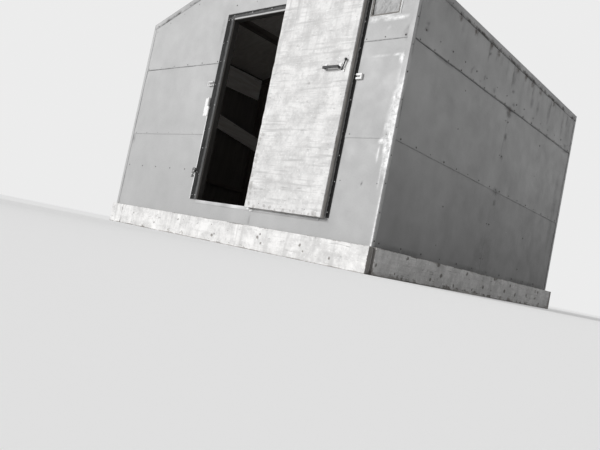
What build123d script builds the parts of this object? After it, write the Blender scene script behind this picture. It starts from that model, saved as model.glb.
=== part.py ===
"""Ice fishing hut: a timber frame clad in lapped flat sheet, with a gable roof and one door leaf.

Millimetres, +Z up. The front gable wall faces -Y and the ground is Z = 0. Depths are
measured from the outer face of the front wall towards the rear.
"""
from build123d import *
import math
import os

# Overall sizes
wall_width = 2440.0
wall_depth = 2440.0
eave_height = 1556.0
roof_pitch = 18.0

# Timbers
timber = 38.0
joist_height = 89.0
ridge_board_width = 19.0
ridge_board_height = 89.0
stud_spacing = 610.0
member_gap = 0.4

# Sheet cladding
sheet = 8.0
lap_step = 1.5
lap_height = 45.0
sheet_bottom = 15.0
lower_lap = 697.0
upper_lap = 1229.0
front_left_lap = 1197.0
lower_lap_rise = -14.0
upper_lap_rise = 30.0
sheet_joint_width = 2.0

# Skirt boards at the foot of the walls
skirt_height = 140.0
skirt_thickness = 38.0
skirt_patch_length = 149.0
skirt_left_inset = 5.0
skirt_right_reach = 18.0

# Floor
deck_thickness = 12.0
deck_joint = 2.0
hole_size = 300.0

# Roof covering and its bent metal edges
roof_thickness = 15.0
edge_leg = 41.0
edge_metal = 1.5
ridge_cap_leg = 110.0
corner_leg = 26.0

# Doorway and its dark trim strips
doorway_corner = 372.0
doorway_width = 1098.0
sill_height = 252.0
head_height = 1500.0
head_lip = 12.0
head_trim_width = 29.0
trim_width = 66.0
trim_thickness = 6.0
sill_strip_height = 22.0
sill_strip_thickness = 5.0

# Door leaf
leaf_width = 610.0
leaf_height = 1354.0
leaf_drop = 6.0
leaf_overlap_left = 13.0
leaf_overlap_right = 39.0
panel_thickness = 12.0
batten_thickness = 18.0
batten_width = 64.0
leaf_clearance = 5.0

# Butt hinges of the door leaf
hinge_length = 76.0
hinge_plate = 2.0
hinge_plate_width = 15.0
hinge_leaf_width = 28.0
hinge_radius = 4.0
hinge_pin_radius = 1.8
hinge_pin_play = 0.1
hinge_inset = 160.0
knuckle_gap = 0.5

# Pull handle and turned latch of the leaf
handle_height = 1077.0
handle_span = 104.0
handle_reach = 26.0
handle_bar_height = 14.0
handle_bar_thickness = 6.0
handle_post = 10.0
handle_foot = 20.0
handle_foot_height = 36.0
handle_inset = 71.0
latch_inset = 46.0
latch_drop = 14.0
latch_lean = 12.0
latch_plate_size = 22.0
latch_plate_thickness = 3.0
latch_rod_radius = 3.5
latch_knob_radius = 8.0
latch_rise = 57.0

# Brackets and old hinge leaves on the front wall
keeper_height = 1033.0
keeper_size = 32.0
keeper_width = 38.0
keeper_bar = 10.0
keeper_reach = 14.0
keeper_offset = 2.0
hook_height = 1052.0
hook_length = 44.0
hook_gap = 24.0
hook_radius = 4.0
hook_reach = 14.0
hook_offset = 8.0
old_hinge_width = 36.0
old_hinge_length = 122.0
old_hinge_plate = 3.0
old_hinge_bottom = 830.0
old_hinge_rest_width = 22.0
old_hinge_rest_length = 62.0
old_hinge_rest_bottom = 402.0
old_knuckle_radius = 10.0
old_knuckle_share = 0.45

# Small window beside the doorway
window_gap = 4.0
window_width = 195.0
window_bottom = 1369.0
window_height = 150.0
window_film = 1.0
window_bead = 12.0

# Interior boards on the left wall
brace_width = 119.0
brace_thickness = 19.0
brace_front_height = 1143.0
brace_rear_height = 945.0
brace_front_depth = 60.0
brace_rear_depth = 1240.0
wall_board_front = 606.0
wall_board_length = 540.0
wall_board_height = 188.0
wall_board_thickness = 12.0
girt_height = 519.0
purlin_share = 0.55

# Derived sizes
half_width = wall_width / 2
slope = math.tan(math.radians(roof_pitch))
slope_length = 1 / math.cos(math.radians(roof_pitch))
ridge_height = eave_height + slope * half_width
deck_top = skirt_height
deck_bottom = deck_top - deck_thickness
joist_bottom = deck_bottom - joist_height
frame_half = half_width - sheet
frame_front = sheet
frame_rear = wall_depth - sheet
stud_inner = frame_half - timber
plate_top = eave_height + slope * (half_width - stud_inner) - timber * slope_length
doorway_right = half_width - doorway_corner
doorway_left = doorway_right - doorway_width
head_trim_bottom = head_height + head_lip
head_trim_top = head_trim_bottom + head_trim_width
leaf_right = doorway_right + leaf_overlap_right
leaf_left = leaf_right - leaf_width
post_right = leaf_left + leaf_overlap_left
post_left = post_right - timber
window_left = doorway_right + trim_width + window_gap
sheet_joint_depth = wall_depth / 2
leaf_bottom = sill_height - leaf_drop
leaf_top = leaf_bottom + leaf_height
leaf_back = -(trim_thickness + leaf_clearance)
leaf_thickness = panel_thickness + batten_thickness
leaf_face = leaf_back - leaf_thickness
panel_back = leaf_face + panel_thickness
hinge_axis_x = leaf_left - hinge_radius - 1.0
hinge_axis_depth = -(trim_thickness + hinge_radius + 0.5)
handle_front = leaf_face - handle_reach
rear_reach = skirt_thickness
front_depth = -(wall_depth + rear_reach - handle_front) / 2 - handle_front


def box(x_range, depth_range, z_range):
    """A box between two X values, two depths behind the front wall face and two heights."""
    size = [high - low for low, high in (x_range, depth_range, z_range)]
    corner = Pos(x_range[0], front_depth + depth_range[0], z_range[0])
    return corner * Box(*size, align=(Align.MIN, Align.MIN, Align.MIN))


def cylinder_between(start, end, radius):
    """A round bar between two points given as x, depth and height."""
    first = Vector(start[0], front_depth + start[1], start[2])
    last = Vector(end[0], front_depth + end[1], end[2])
    bar = Cylinder(radius, (last - first).length, align=(Align.CENTER, Align.CENTER, Align.MIN))
    return Plane(origin=first, z_dir=last - first).location * bar


def along_depth(points, depth_range):
    """A section drawn in X and Z, carried from one depth to another."""
    outline = [Vector(x, front_depth + depth_range[0], z) for x, z in points]
    return extrude(make_face(Polyline(*outline, close=True)), depth_range[1] - depth_range[0], Vector(0, 1, 0))


def along_x(points, x_range):
    """A section drawn in depth and Z, carried from one X to another."""
    outline = [Vector(x_range[0], front_depth + depth, z) for depth, z in points]
    return extrude(make_face(Polyline(*outline, close=True)), x_range[1] - x_range[0], Vector(1, 0, 0))


def under_roof(drop, depth_range, floor_height=0.0):
    """The space below a roof plane that is lowered square to the slope by a drop."""
    lowered = drop * slope_length
    reach = half_width + 200.0
    edge = ridge_height - lowered - slope * reach
    points = [(-reach, floor_height), (reach, floor_height), (reach, edge)]
    points += [(0, ridge_height - lowered), (-reach, edge)]
    return along_depth(points, depth_range)


def whole_depth():
    """Depth range that clears both gable walls."""
    return (-100.0, wall_depth + 100.0)


def save(solids, node):
    """Write the solids of one named piece to its own file."""
    shape = solids if not isinstance(solids, list) else Compound(children=solids)
    export_step(shape, os.path.join("parts", node + ".step"))


def lap_profile(top, upper):
    """Section of a clad wall as pairs of outward step and height, from bottom to top."""
    face = [(0.0, sheet_bottom)]
    for lap in (lower_lap, upper):
        face += [(0.0, lap), (lap_step, lap), (0.0, lap + lap_height)]
    face.append((0.0, top))
    return face


def flat_strips():
    """X ranges of the front wall where the laps are beaten flat under strips."""
    return [
        (doorway_left - trim_width, doorway_left),
        (doorway_right, doorway_right + trim_width),
        (-half_width, -half_width + corner_leg),
        (half_width - corner_leg, half_width),
    ]


def front_sheet(x_range, z_range, upper=upper_lap):
    """Front cladding over one stretch, with its lapped sheet edges."""
    top = ridge_height + roof_thickness
    section = [(-step, z) for step, z in lap_profile(top, upper)]
    section += [(sheet, top), (sheet, sheet_bottom)]
    body = along_x(section, x_range) & box(x_range, (-lap_step, sheet), z_range)
    for strip in flat_strips():
        body -= box(strip, (-2 * lap_step, 0.0), (sheet_bottom, top))
    return body & under_roof(0.0, whole_depth())


def front_walls():
    """Front cladding, split beside, under and over the doorway."""
    full = (sheet_bottom, ridge_height)
    save(front_sheet((-half_width, doorway_left), full, front_left_lap), "front_wall_left")
    right = front_sheet((doorway_right, half_width), full)
    hole_x = (window_left, window_left + window_width)
    hole_z = (window_bottom, window_bottom + window_height)
    save(right - box(hole_x, (-10.0, sheet + 10.0), hole_z), "front_wall_right")
    middle = (doorway_left, doorway_right)
    save(front_sheet(middle, (sheet_bottom, sill_height)), "front_wall_sill")
    save(front_sheet(middle, (head_height, ridge_height)), "front_gable")


def rear_wall():
    """Rear gable cladding in one piece, with the same laps as the front."""
    top = ridge_height + roof_thickness
    section = [(wall_depth + step, z) for step, z in lap_profile(top, upper_lap)]
    section += [(wall_depth - sheet, top), (wall_depth - sheet, sheet_bottom)]
    body = along_x(section, (-half_width, half_width))
    for strip in flat_strips()[2:]:
        body -= box(strip, (wall_depth, wall_depth + 2 * lap_step), (sheet_bottom, top))
    save(body & under_roof(0.0, whole_depth()), "rear_wall")


def side_lap(side, height, rise):
    """The proud edge of a lapped sheet on a side wall, which climbs or falls to the rear."""
    run = wall_depth - 2 * sheet
    root = half_width - sheet / 2
    points = [(root, height), (half_width + lap_step, height)]
    points += [(half_width, height + lap_height), (root, height + lap_height)]
    outline = [Vector(side * x, front_depth + sheet, z) for x, z in points]
    direction = Vector(0, run, rise)
    return extrude(make_face(Polyline(*outline, close=True)), direction.length, direction.normalized())


def side_wall(side, node):
    """Side cladding between the gable sheets, with laps and a joint at mid depth."""
    top = ridge_height
    wall_x = sorted((side * half_width, side * frame_half))
    body = box(wall_x, (sheet, wall_depth - sheet), (sheet_bottom, top))
    body += side_lap(side, lower_lap, lower_lap_rise)
    body += side_lap(side, upper_lap, upper_lap_rise)
    groove_x = sorted((side * (half_width - lap_step), side * (half_width + 2 * lap_step)))
    groove_depth = (sheet_joint_depth, sheet_joint_depth + sheet_joint_width)
    body -= box(groove_x, groove_depth, (skirt_height, upper_lap))
    proud_x = sorted((side * half_width, side * (half_width + 2 * lap_step)))
    for depth_range in ((0.0, corner_leg), (wall_depth - corner_leg, wall_depth)):
        body -= box(proud_x, depth_range, (sheet_bottom, top))
    save(body & under_roof(0.0, whole_depth()), node)


def skirts():
    """Heavy boards round the foot: the end boards lap the ends of the side boards."""
    outer = half_width + skirt_thickness
    left_end = skirt_left_inset - half_width
    right_end = half_width + skirt_right_reach
    patch_edge = left_end + skirt_patch_length
    front = (-skirt_thickness, 0.0)
    main = box((patch_edge + member_gap, right_end), front, (0, skirt_height))
    patch = box((left_end, patch_edge), front, (0, skirt_height))
    save([main, patch], "skirt_front")
    rear = (wall_depth, wall_depth + skirt_thickness)
    save(box((-outer, outer), rear, (0, skirt_height)), "skirt_rear")
    save(box((-outer, -half_width), (0, wall_depth), (0, skirt_height)), "skirt_left")
    save(box((half_width, outer), (0, wall_depth), (0, skirt_height)), "skirt_right")


def spaced(low, high, width, spacing):
    """Starts of evenly spaced members between two limits, one member at each limit."""
    count = max(1, round((high - low - width) / spacing))
    step = (high - low - width) / count
    return [low + step * index for index in range(count + 1)]


def floor():
    """Rim and floor joists, and the deck with its two fishing holes."""
    z_range = (joist_bottom, deck_bottom)
    front_rim = box((-frame_half, frame_half), (frame_front, frame_front + timber), z_range)
    rear_rim = box((-frame_half, frame_half), (frame_rear - timber, frame_rear), z_range)
    save([front_rim, rear_rim], "floor_rims")
    run = (frame_front + timber, frame_rear - timber)
    starts = spaced(-frame_half, frame_half, timber, stud_spacing)
    joists = [box((x, x + timber), run, z_range) for x in starts]
    save(joists, "floor_joists")
    deck((starts[-2] + timber + starts[-1]) / 2)


def deck(hole_offset):
    """Plywood deck panels laid round a fishing hole in the outer joist bay of each side."""
    z_range = (deck_bottom, deck_top)
    middle = wall_depth / 2
    hole_front = middle - hole_size / 2
    hole_rear = middle + hole_size / 2
    full = (-frame_half, frame_half)
    panels = [box(full, (frame_front, hole_front - deck_joint), z_range)]
    panels.append(box(full, (hole_rear + deck_joint, frame_rear), z_range))
    band = (hole_front, hole_rear)
    inner = hole_offset - hole_size / 2
    outer = hole_offset + hole_size / 2
    panels.append(box((-inner, inner), band, z_range))
    panels.append(box((-frame_half, -outer), band, z_range))
    panels.append(box((outer, frame_half), band, z_range))
    save(panels, "floor_deck")


def wall_plates():
    """Bottom and top timbers of the wall frames."""
    bottom = (deck_top, deck_top + timber)
    side_run = (frame_front, frame_rear)
    end_x = stud_inner - member_gap
    front_run = (frame_front, frame_front + timber)
    rear_run = (frame_rear - timber, frame_rear)
    plates = [box((-frame_half, -stud_inner), side_run, bottom)]
    plates.append(box((stud_inner, frame_half), side_run, bottom))
    plates.append(box((-end_x, end_x), front_run, bottom))
    plates.append(box((-end_x, end_x), rear_run, bottom))
    save(plates, "bottom_plates")
    top = (plate_top - timber, plate_top)
    tops = [box((-frame_half, -stud_inner), side_run, top)]
    tops.append(box((stud_inner, frame_half), side_run, top))
    save(tops, "top_plates")


def side_studs():
    """Upright timbers of the left and right walls."""
    z_range = (deck_top + timber, plate_top - timber)
    studs = []
    for x_range in ((-frame_half, -stud_inner), (stud_inner, frame_half)):
        for depth in spaced(frame_front, frame_rear, timber, stud_spacing):
            studs.append(box(x_range, (depth, depth + timber), z_range))
    save(studs, "side_wall_studs")


def gable_stud(x, depth_range, bottom):
    """An upright of a gable wall, cut to the slope under its rafter."""
    tall = box((x, x + timber), depth_range, (bottom, ridge_height))
    ridge_space = (ridge_height - ridge_board_height, ridge_height)
    tall -= box((-timber, timber), (0.0, wall_depth), ridge_space)
    return tall & under_roof(timber, whole_depth())


def front_stud_places():
    """Left edges of the uprights in the front wall, beside the doorway and the corners."""
    left_bay = (-stud_inner + doorway_left - timber) / 2
    return [-stud_inner, left_bay, doorway_left - timber, doorway_right, stud_inner - timber]


def front_frame():
    """Front uprights, the doorway header and sill timbers and the centre post."""
    depth_range = (frame_front, frame_front + timber)
    base = deck_top + timber
    save([gable_stud(x, depth_range, base) for x in front_stud_places()], "front_wall_studs")
    clear = (doorway_left, doorway_right)
    header = box(clear, depth_range, (head_height, head_height + timber))
    sill = box(clear, depth_range, (sill_height - timber, sill_height))
    save([header, sill], "doorway_header_and_sill")
    post = box((post_left, post_right), (-trim_thickness, frame_front + timber), (sill_height, head_height))
    save(post, "centre_post")


def rear_frame():
    """Rear uprights, cut to the slope."""
    depth_range = (frame_rear - timber, frame_rear)
    starts = spaced(-stud_inner, timber / 2, timber, stud_spacing)
    starts += spaced(-timber / 2, stud_inner, timber, stud_spacing)[1:]
    rear = [gable_stud(x, depth_range, deck_top + timber) for x in starts]
    save(rear, "rear_wall_studs")


def girts():
    """Blocks between the side uprights at knee height."""
    z_range = (girt_height - timber, girt_height)
    places = spaced(frame_front, frame_rear, timber, stud_spacing)
    blocks = []
    for x_range in ((-frame_half, -stud_inner), (stud_inner, frame_half)):
        for depth, following in zip(places, places[1:]):
            blocks.append(box(x_range, (depth + timber, following), z_range))
    save(blocks, "side_wall_girts")


def rafter_depths():
    """Front edge of each pair of rafters."""
    return spaced(frame_front, frame_rear, timber, wall_depth / 2)


def roof_frame():
    """Rafter pairs, the ridge board and the purlins partway up each slope."""
    half_ridge = ridge_board_width / 2
    ridge_z = (ridge_height - ridge_board_height, ridge_height)
    ridge = box((-half_ridge, half_ridge), (frame_front, frame_rear), ridge_z)
    save(ridge & under_roof(0.0, whole_depth()), "ridge_board")
    band = under_roof(0.0, whole_depth()) - under_roof(timber, whole_depth())
    rafters = []
    purlins = []
    depths = rafter_depths()
    for side in (-1, 1):
        clear_x = sorted((side * half_ridge, side * frame_half))
        for depth in depths:
            piece = box(clear_x, (depth, depth + timber), (0, ridge_height)) & band
            seat_x = sorted((side * stud_inner, side * frame_half))
            piece -= box(seat_x, (depth - 1, depth + timber + 1), (0, plate_top))
            rafters.append(piece.solids()[0])
        middle = side * half_width * purlin_share
        purlin_x = (middle - timber / 2, middle + timber / 2)
        for depth, following in zip(depths, depths[1:]):
            piece = box(purlin_x, (depth + timber, following), (0, ridge_height)) & band
            purlins.append(piece.solids()[0])
    save(rafters, "rafters")
    save(purlins, "purlins")


def roof_points(side, low, high, inner_x, outer_x):
    """Corners of a layer that follows one slope between two heights square to it."""
    raise_low = low * slope_length
    raise_high = high * slope_length
    corners = []
    for x, lift in ((inner_x, raise_low), (outer_x, raise_low), (outer_x, raise_high), (inner_x, raise_high)):
        corners.append((side * x, ridge_height - slope * x + lift))
    return corners


def roof_covering():
    """The two roof slabs and the bent cap over the ridge."""
    depth_range = (0.0, wall_depth)
    for side, node in ((-1, "roof_left"), (1, "roof_right")):
        points = roof_points(side, 0.0, roof_thickness, 0.0, half_width)
        save(along_depth(points, depth_range), node)
    reach = ridge_cap_leg / slope_length
    lift_low = roof_thickness * slope_length
    lift_high = (roof_thickness + edge_metal) * slope_length
    cap = [(-reach, ridge_height - slope * reach + lift_low), (0, ridge_height + lift_low)]
    cap += [(reach, ridge_height - slope * reach + lift_low), (reach, ridge_height - slope * reach + lift_high)]
    cap += [(0, ridge_height + lift_high), (-reach, ridge_height - slope * reach + lift_high)]
    save(along_depth(cap, depth_range), "ridge_cap")


def eave_strips():
    """Bent metal angles over the two eave edges of the roof."""
    strips = []
    for side in (-1, 1):
        inner = half_width - edge_leg / slope_length
        top_outer = eave_height + roof_thickness * slope_length
        metal_rise = edge_metal * slope_length
        outer = half_width + edge_metal
        points = [(half_width, top_outer), (inner, top_outer + slope * (half_width - inner))]
        points += [(inner, top_outer + slope * (half_width - inner) + metal_rise)]
        points += [(outer, top_outer - slope * edge_metal + metal_rise), (outer, top_outer - edge_leg)]
        points += [(half_width, top_outer - edge_leg)]
        run = (-edge_metal, wall_depth + edge_metal)
        strips.append(along_depth([(side * x, z) for x, z in points], run))
    save(strips, "eave_strips")


def rake_strips():
    """Flat metal strips nailed along the sloping edges of the two gables."""
    strips = []
    drop = edge_leg - roof_thickness
    for side in (-1, 1):
        points = roof_points(side, -drop, roof_thickness, member_gap, half_width)
        for low, high in ((-edge_metal, 0.0), (wall_depth, wall_depth + edge_metal)):
            strips.append(along_depth(points, (low, high)))
    save(strips, "rake_strips")


def corner_strips():
    """Bent metal angles up the four outside corners of the walls."""
    outer = half_width + edge_metal
    top = eave_height - (edge_leg - roof_thickness) * slope_length - member_gap
    angles = []
    for side in (-1, 1):
        for face, inward in ((0.0, 1), (wall_depth, -1)):
            skin = face - inward * edge_metal
            leg = face + inward * corner_leg
            points = [(outer, skin), (outer, leg), (half_width, leg), (half_width, face)]
            points += [(half_width - corner_leg, face), (half_width - corner_leg, skin)]
            outline = [Vector(side * x, front_depth + depth, skirt_height) for x, depth in points]
            height = top - skirt_height
            angles.append(extrude(make_face(Polyline(*outline, close=True)), height, Vector(0, 0, 1)))
    save(angles, "corner_strips")


def doorway_trim():
    """Dark strips nailed round the doorway and the pale strip on its sill."""
    face = (-trim_thickness, 0.0)
    left = (doorway_left - trim_width, doorway_left)
    right = (doorway_right, doorway_right + trim_width)
    save(box(left, face, (sill_height, head_trim_bottom)), "door_trim_left")
    save(box(right, face, (sill_height, head_trim_bottom)), "door_trim_right")
    head = box((left[0], right[1]), face, (head_trim_bottom, head_trim_top))
    save(head, "door_trim_head")
    sill_z = (sill_height - sill_strip_height, sill_height)
    sill = box((doorway_left, doorway_right), (-sill_strip_thickness, 0.0), sill_z)
    save(sill, "door_sill_strip")


def door_leaf():
    """Plywood door panel on a frame of battens."""
    panel = box((leaf_left, leaf_right), (leaf_face, panel_back), (leaf_bottom, leaf_top))
    save(panel, "door_panel")
    back = (panel_back, leaf_back)
    stiles = [box((leaf_left, leaf_left + batten_width), back, (leaf_bottom, leaf_top))]
    stiles.append(box((leaf_right - batten_width, leaf_right), back, (leaf_bottom, leaf_top)))
    save(stiles, "door_stiles")
    rail_x = (leaf_left + batten_width, leaf_right - batten_width)
    middle = (leaf_bottom + leaf_top - batten_width) / 2
    lows = (leaf_bottom, middle, leaf_top - batten_width)
    save([box(rail_x, back, (low, low + batten_width)) for low in lows], "door_rails")


def hinge_heights():
    """Bottom height of each butt hinge of the leaf."""
    first = leaf_bottom + hinge_inset
    last = head_height - hinge_inset - hinge_length
    return [first, (first + last) / 2, last]


def hinges():
    """Butt hinges: end knuckles and pin on the post, middle knuckle on the leaf."""
    third = hinge_length / 3
    pin_x = hinge_axis_x
    pin_depth = hinge_axis_depth
    fixed = []
    moving = []
    for low in hinge_heights():
        high = low + hinge_length
        spans = ((low, low + third - knuckle_gap), (high - third + knuckle_gap, high))
        plate_x = (pin_x - hinge_radius - hinge_plate_width, pin_x)
        plate_depth = (-trim_thickness - hinge_plate, -trim_thickness)
        clear_x = pin_x - hinge_radius - 1.0
        body = box((plate_x[0], clear_x), plate_depth, (low, high))
        for span in spans:
            body += box((clear_x, pin_x), plate_depth, span)
            body += cylinder_between((pin_x, pin_depth, span[0]), (pin_x, pin_depth, span[1]), hinge_radius)
        body += cylinder_between((pin_x, pin_depth, low), (pin_x, pin_depth, high), hinge_pin_radius)
        fixed.append(body.solids()[0])
        middle = (low + third + knuckle_gap, high - third - knuckle_gap)
        leaf_plate = (leaf_back, leaf_back + hinge_plate)
        leaf_x = leaf_left + 1.0
        part = box((leaf_x, leaf_x + hinge_leaf_width), leaf_plate, (low, high))
        part += box((pin_x, leaf_x), leaf_plate, middle)
        part += cylinder_between((pin_x, pin_depth, middle[0]), (pin_x, pin_depth, middle[1]), hinge_radius)
        bore = hinge_pin_radius + hinge_pin_play
        part -= cylinder_between((pin_x, pin_depth, low), (pin_x, pin_depth, high), bore)
        moving.append(part.solids()[0])
    save(fixed, "hinge_post_leaves")
    save(moving, "hinge_door_leaves")


def pull_handle():
    """Pull handle: a flat bar held off the leaf by two posts on foot plates."""
    right = leaf_right - handle_inset
    left = right - handle_span
    bar_depth = (handle_front, handle_front + handle_bar_thickness)
    height = handle_height
    half_bar = handle_bar_height / 2
    half_post = handle_post / 2
    body = box((left - half_post, right + half_post), bar_depth, (height - half_bar, height + half_bar))
    for x in (left, right):
        post_x = (x - half_post, x + half_post)
        body += box(post_x, (handle_front, leaf_face), (height - half_post, height + half_post))
        pad_x = (x - handle_foot / 2, x + handle_foot / 2)
        pad_z = (height - handle_foot_height * 0.3, height + handle_foot_height * 0.7)
        body += box(pad_x, (leaf_face - latch_plate_thickness, leaf_face), pad_z)
    save(body, "door_handle")


def door_latch():
    """Turned latch: a plate with a bent rod that ends in a knob."""
    x = leaf_right - latch_inset
    rise_start = handle_height - latch_drop
    plate_x = (x - latch_plate_size / 2, x + latch_plate_size / 2)
    plate_z = (rise_start - latch_plate_size / 2, rise_start + latch_plate_size / 2)
    body = box(plate_x, (leaf_face - latch_plate_thickness, leaf_face), plate_z)
    rod_depth = leaf_face - latch_plate_thickness - latch_rod_radius
    start = (x - latch_lean / 2, rod_depth, rise_start)
    bend = (x + latch_lean / 2, rod_depth - latch_rod_radius, rise_start + latch_rise / 2)
    end = (x + latch_lean, rod_depth - latch_rod_radius, rise_start + latch_rise)
    stem = (start[0], leaf_face, start[2])
    body += cylinder_between(stem, start, latch_rod_radius)
    for first, last in ((start, bend), (bend, end)):
        body += cylinder_between(first, last, latch_rod_radius)
    for point in (start, bend):
        body += Pos(point[0], front_depth + point[1], point[2]) * Sphere(latch_rod_radius)
    body += Pos(end[0], front_depth + end[1], end[2]) * Sphere(latch_knob_radius)
    save(body.solids()[0], "door_latch")


def wall_brackets():
    """C-shaped keeper to the right of the doorway and the bent rod hook to its left."""
    left = doorway_right + trim_width + keeper_offset
    x_range = (left, left + keeper_width)
    z_range = (keeper_height - keeper_size / 2, keeper_height + keeper_size / 2)
    keeper = box(x_range, (-keeper_reach, 0.0), z_range)
    slot_z = (keeper_height - keeper_bar / 2, keeper_height + keeper_bar / 2)
    keeper -= box((left - 1, left + keeper_width - keeper_bar), (-keeper_reach - 1, 1.0), slot_z)
    save(keeper, "latch_keeper")
    root_x = doorway_left - trim_width - hook_offset
    far_x = root_x - hook_length
    high = hook_height + hook_gap / 2
    low = hook_height - hook_gap / 2
    route = [(root_x, 0.0, high), (root_x, -hook_reach, high), (far_x, -hook_reach, high)]
    route += [(far_x, -hook_reach, low), (root_x, -hook_reach, low)]
    hook = cylinder_between(route[0], route[1], hook_radius)
    for start, end in zip(route[1:], route[2:]):
        hook += cylinder_between(start, end, hook_radius)
        hook += Pos(start[0], front_depth + start[1], start[2]) * Sphere(hook_radius)
    save(hook.solids()[0], "wall_hook")


def old_hinges():
    """Hinge leaves left on the wall where the other door leaf once hung."""
    edge = doorway_left - trim_width
    knuckle_x = edge - old_knuckle_radius - member_gap
    plate_edge = knuckle_x - old_knuckle_radius
    leaves = []
    whole = (old_hinge_bottom, old_hinge_length, old_hinge_width)
    rest = (old_hinge_rest_bottom, old_hinge_rest_length, old_hinge_rest_width)
    for bottom, length, width in (whole, rest):
        wall_side = (-old_hinge_plate, 0.0)
        plate = box((plate_edge - width, knuckle_x), wall_side, (bottom, bottom + length))
        axis = (knuckle_x, -old_knuckle_radius)
        barrel_bottom = bottom + length * (1 - old_knuckle_share)
        top = bottom + length
        plate += cylinder_between((*axis, barrel_bottom), (*axis, top), old_knuckle_radius)
        leaves.append(plate.solids()[0])
    save(leaves, "old_hinge_leaves")


def window():
    """Beads round the small window and the clear film held behind them."""
    inner_x = (window_left + window_bead, window_left + window_width - window_bead)
    inner_z = (window_bottom + window_bead, window_bottom + window_height - window_bead)
    outer_x = (window_left, window_left + window_width)
    outer_z = (window_bottom, window_bottom + window_height)
    frame_depth = (window_film, sheet - window_film)
    frame = box(outer_x, frame_depth, outer_z)
    frame -= box(inner_x, (-1.0, sheet + 1.0), inner_z)
    save(frame, "window_beads")
    save(box(outer_x, (sheet - window_film, sheet), outer_z), "window_film")


def interior_boards():
    """The sloping brace and the short board on the inside of the left wall."""
    inner = -stud_inner
    half = brace_width / 2
    front = brace_front_depth
    rear = brace_rear_depth
    section = [(front, brace_front_height - half), (rear, brace_rear_height - half)]
    section += [(rear, brace_rear_height + half), (front, brace_front_height + half)]
    save(along_x(section, (inner, inner + brace_thickness)), "left_wall_brace")
    depth_range = (wall_board_front, wall_board_front + wall_board_length)
    z_range = (plate_top - wall_board_height, plate_top)
    save(box((inner, inner + wall_board_thickness), depth_range, z_range), "left_wall_board")


def main():
    """Build every piece of the hut."""
    os.makedirs("parts", exist_ok=True)
    front_walls()
    rear_wall()
    side_wall(-1, "left_wall")
    side_wall(1, "right_wall")
    skirts()
    floor()
    wall_plates()
    side_studs()
    front_frame()
    rear_frame()
    girts()
    roof_frame()
    roof_covering()
    eave_strips()
    rake_strips()
    corner_strips()
    doorway_trim()
    door_leaf()
    hinges()
    pull_handle()
    door_latch()
    wall_brackets()
    old_hinges()
    window()
    interior_boards()


main()
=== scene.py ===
"""Looks of an ice fishing hut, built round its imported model.

Metres, +Z up. The front gable wall faces -Y, +X is to the right seen from in front, and the
ground is Z = 0. Every piece is made in place, so each finished object sits at the origin.
"""

import logging
import math
from dataclasses import dataclass, field
from enum import Enum
from typing import Callable, Iterable, Sequence

import bmesh
import bpy
from bmesh.types import BMesh, BMVert
from bpy.types import Material, Node, NodeSocket, NodeTree, Object
from mathutils import Matrix, Vector, noise


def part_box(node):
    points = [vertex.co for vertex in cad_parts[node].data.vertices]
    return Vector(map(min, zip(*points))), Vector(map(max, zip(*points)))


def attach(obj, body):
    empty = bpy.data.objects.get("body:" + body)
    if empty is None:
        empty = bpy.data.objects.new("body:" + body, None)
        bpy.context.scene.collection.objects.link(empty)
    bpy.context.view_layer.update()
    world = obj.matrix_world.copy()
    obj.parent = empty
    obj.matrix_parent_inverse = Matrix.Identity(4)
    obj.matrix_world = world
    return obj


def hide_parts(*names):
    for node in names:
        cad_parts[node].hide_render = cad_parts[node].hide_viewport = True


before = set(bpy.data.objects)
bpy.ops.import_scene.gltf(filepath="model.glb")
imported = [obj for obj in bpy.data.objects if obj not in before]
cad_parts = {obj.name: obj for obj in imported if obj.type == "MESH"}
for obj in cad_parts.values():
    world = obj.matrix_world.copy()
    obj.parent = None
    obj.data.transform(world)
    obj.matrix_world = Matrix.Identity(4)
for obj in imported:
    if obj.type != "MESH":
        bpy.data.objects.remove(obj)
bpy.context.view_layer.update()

Triple = tuple[float, float, float]
Color = Triple
Range = tuple[float, float]
Spots = tuple[tuple[float, float, float, float], ...]
Field = Callable[[float, float], float]
Rows = Iterable[tuple]

LOG = logging.getLogger("ice_hut")
MM = 0.001
UP = Vector((0.0, 0.0, 1.0))
SIDES = (-1, 1)
SHARP_ANGLE = math.radians(32)
WELD = 2e-6
SKIRT = 0.038
NOWHERE = (9.0, 9.0)


class Grain(Enum):
    """Direction in which the fibres of a timber run, as a factor on each axis of its pattern."""

    X = (0.07, 1.0, 1.0)
    Y = (1.0, 0.07, 1.0)
    Z = (1.0, 1.0, 0.07)


class Body(Enum):
    """Moving bodies of the model."""

    HUT = "hut"
    DOOR = "door"


def grey(value: float, warmth: float = 0.0) -> Color:
    """A near neutral colour.

    Args:
        value: linear brightness.
        warmth: share added to red and taken from blue.

    Returns:
        Linear red, green and blue.
    """
    return (value * (1.0 + warmth), value, value * (1.0 - warmth))


def ripple(x: float, y: float, seed: float) -> float:
    """Smooth noise between about -1 and 1 at a place of the plane."""
    return noise.noise(Vector((x, y, seed * 7.31)))


def ease(value: float, low: float, high: float) -> float:
    """Smooth step from 0 at low to 1 at high."""
    share = min(1.0, max(0.0, (value - low) / (high - low)))
    return share * share * (3.0 - 2.0 * share)


def sideways(length: float) -> Vector:
    """Step to the right."""
    return Vector((length, 0.0, 0.0))


def rearward(length: float) -> Vector:
    """Step to the rear."""
    return Vector((0.0, length, 0.0))


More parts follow.
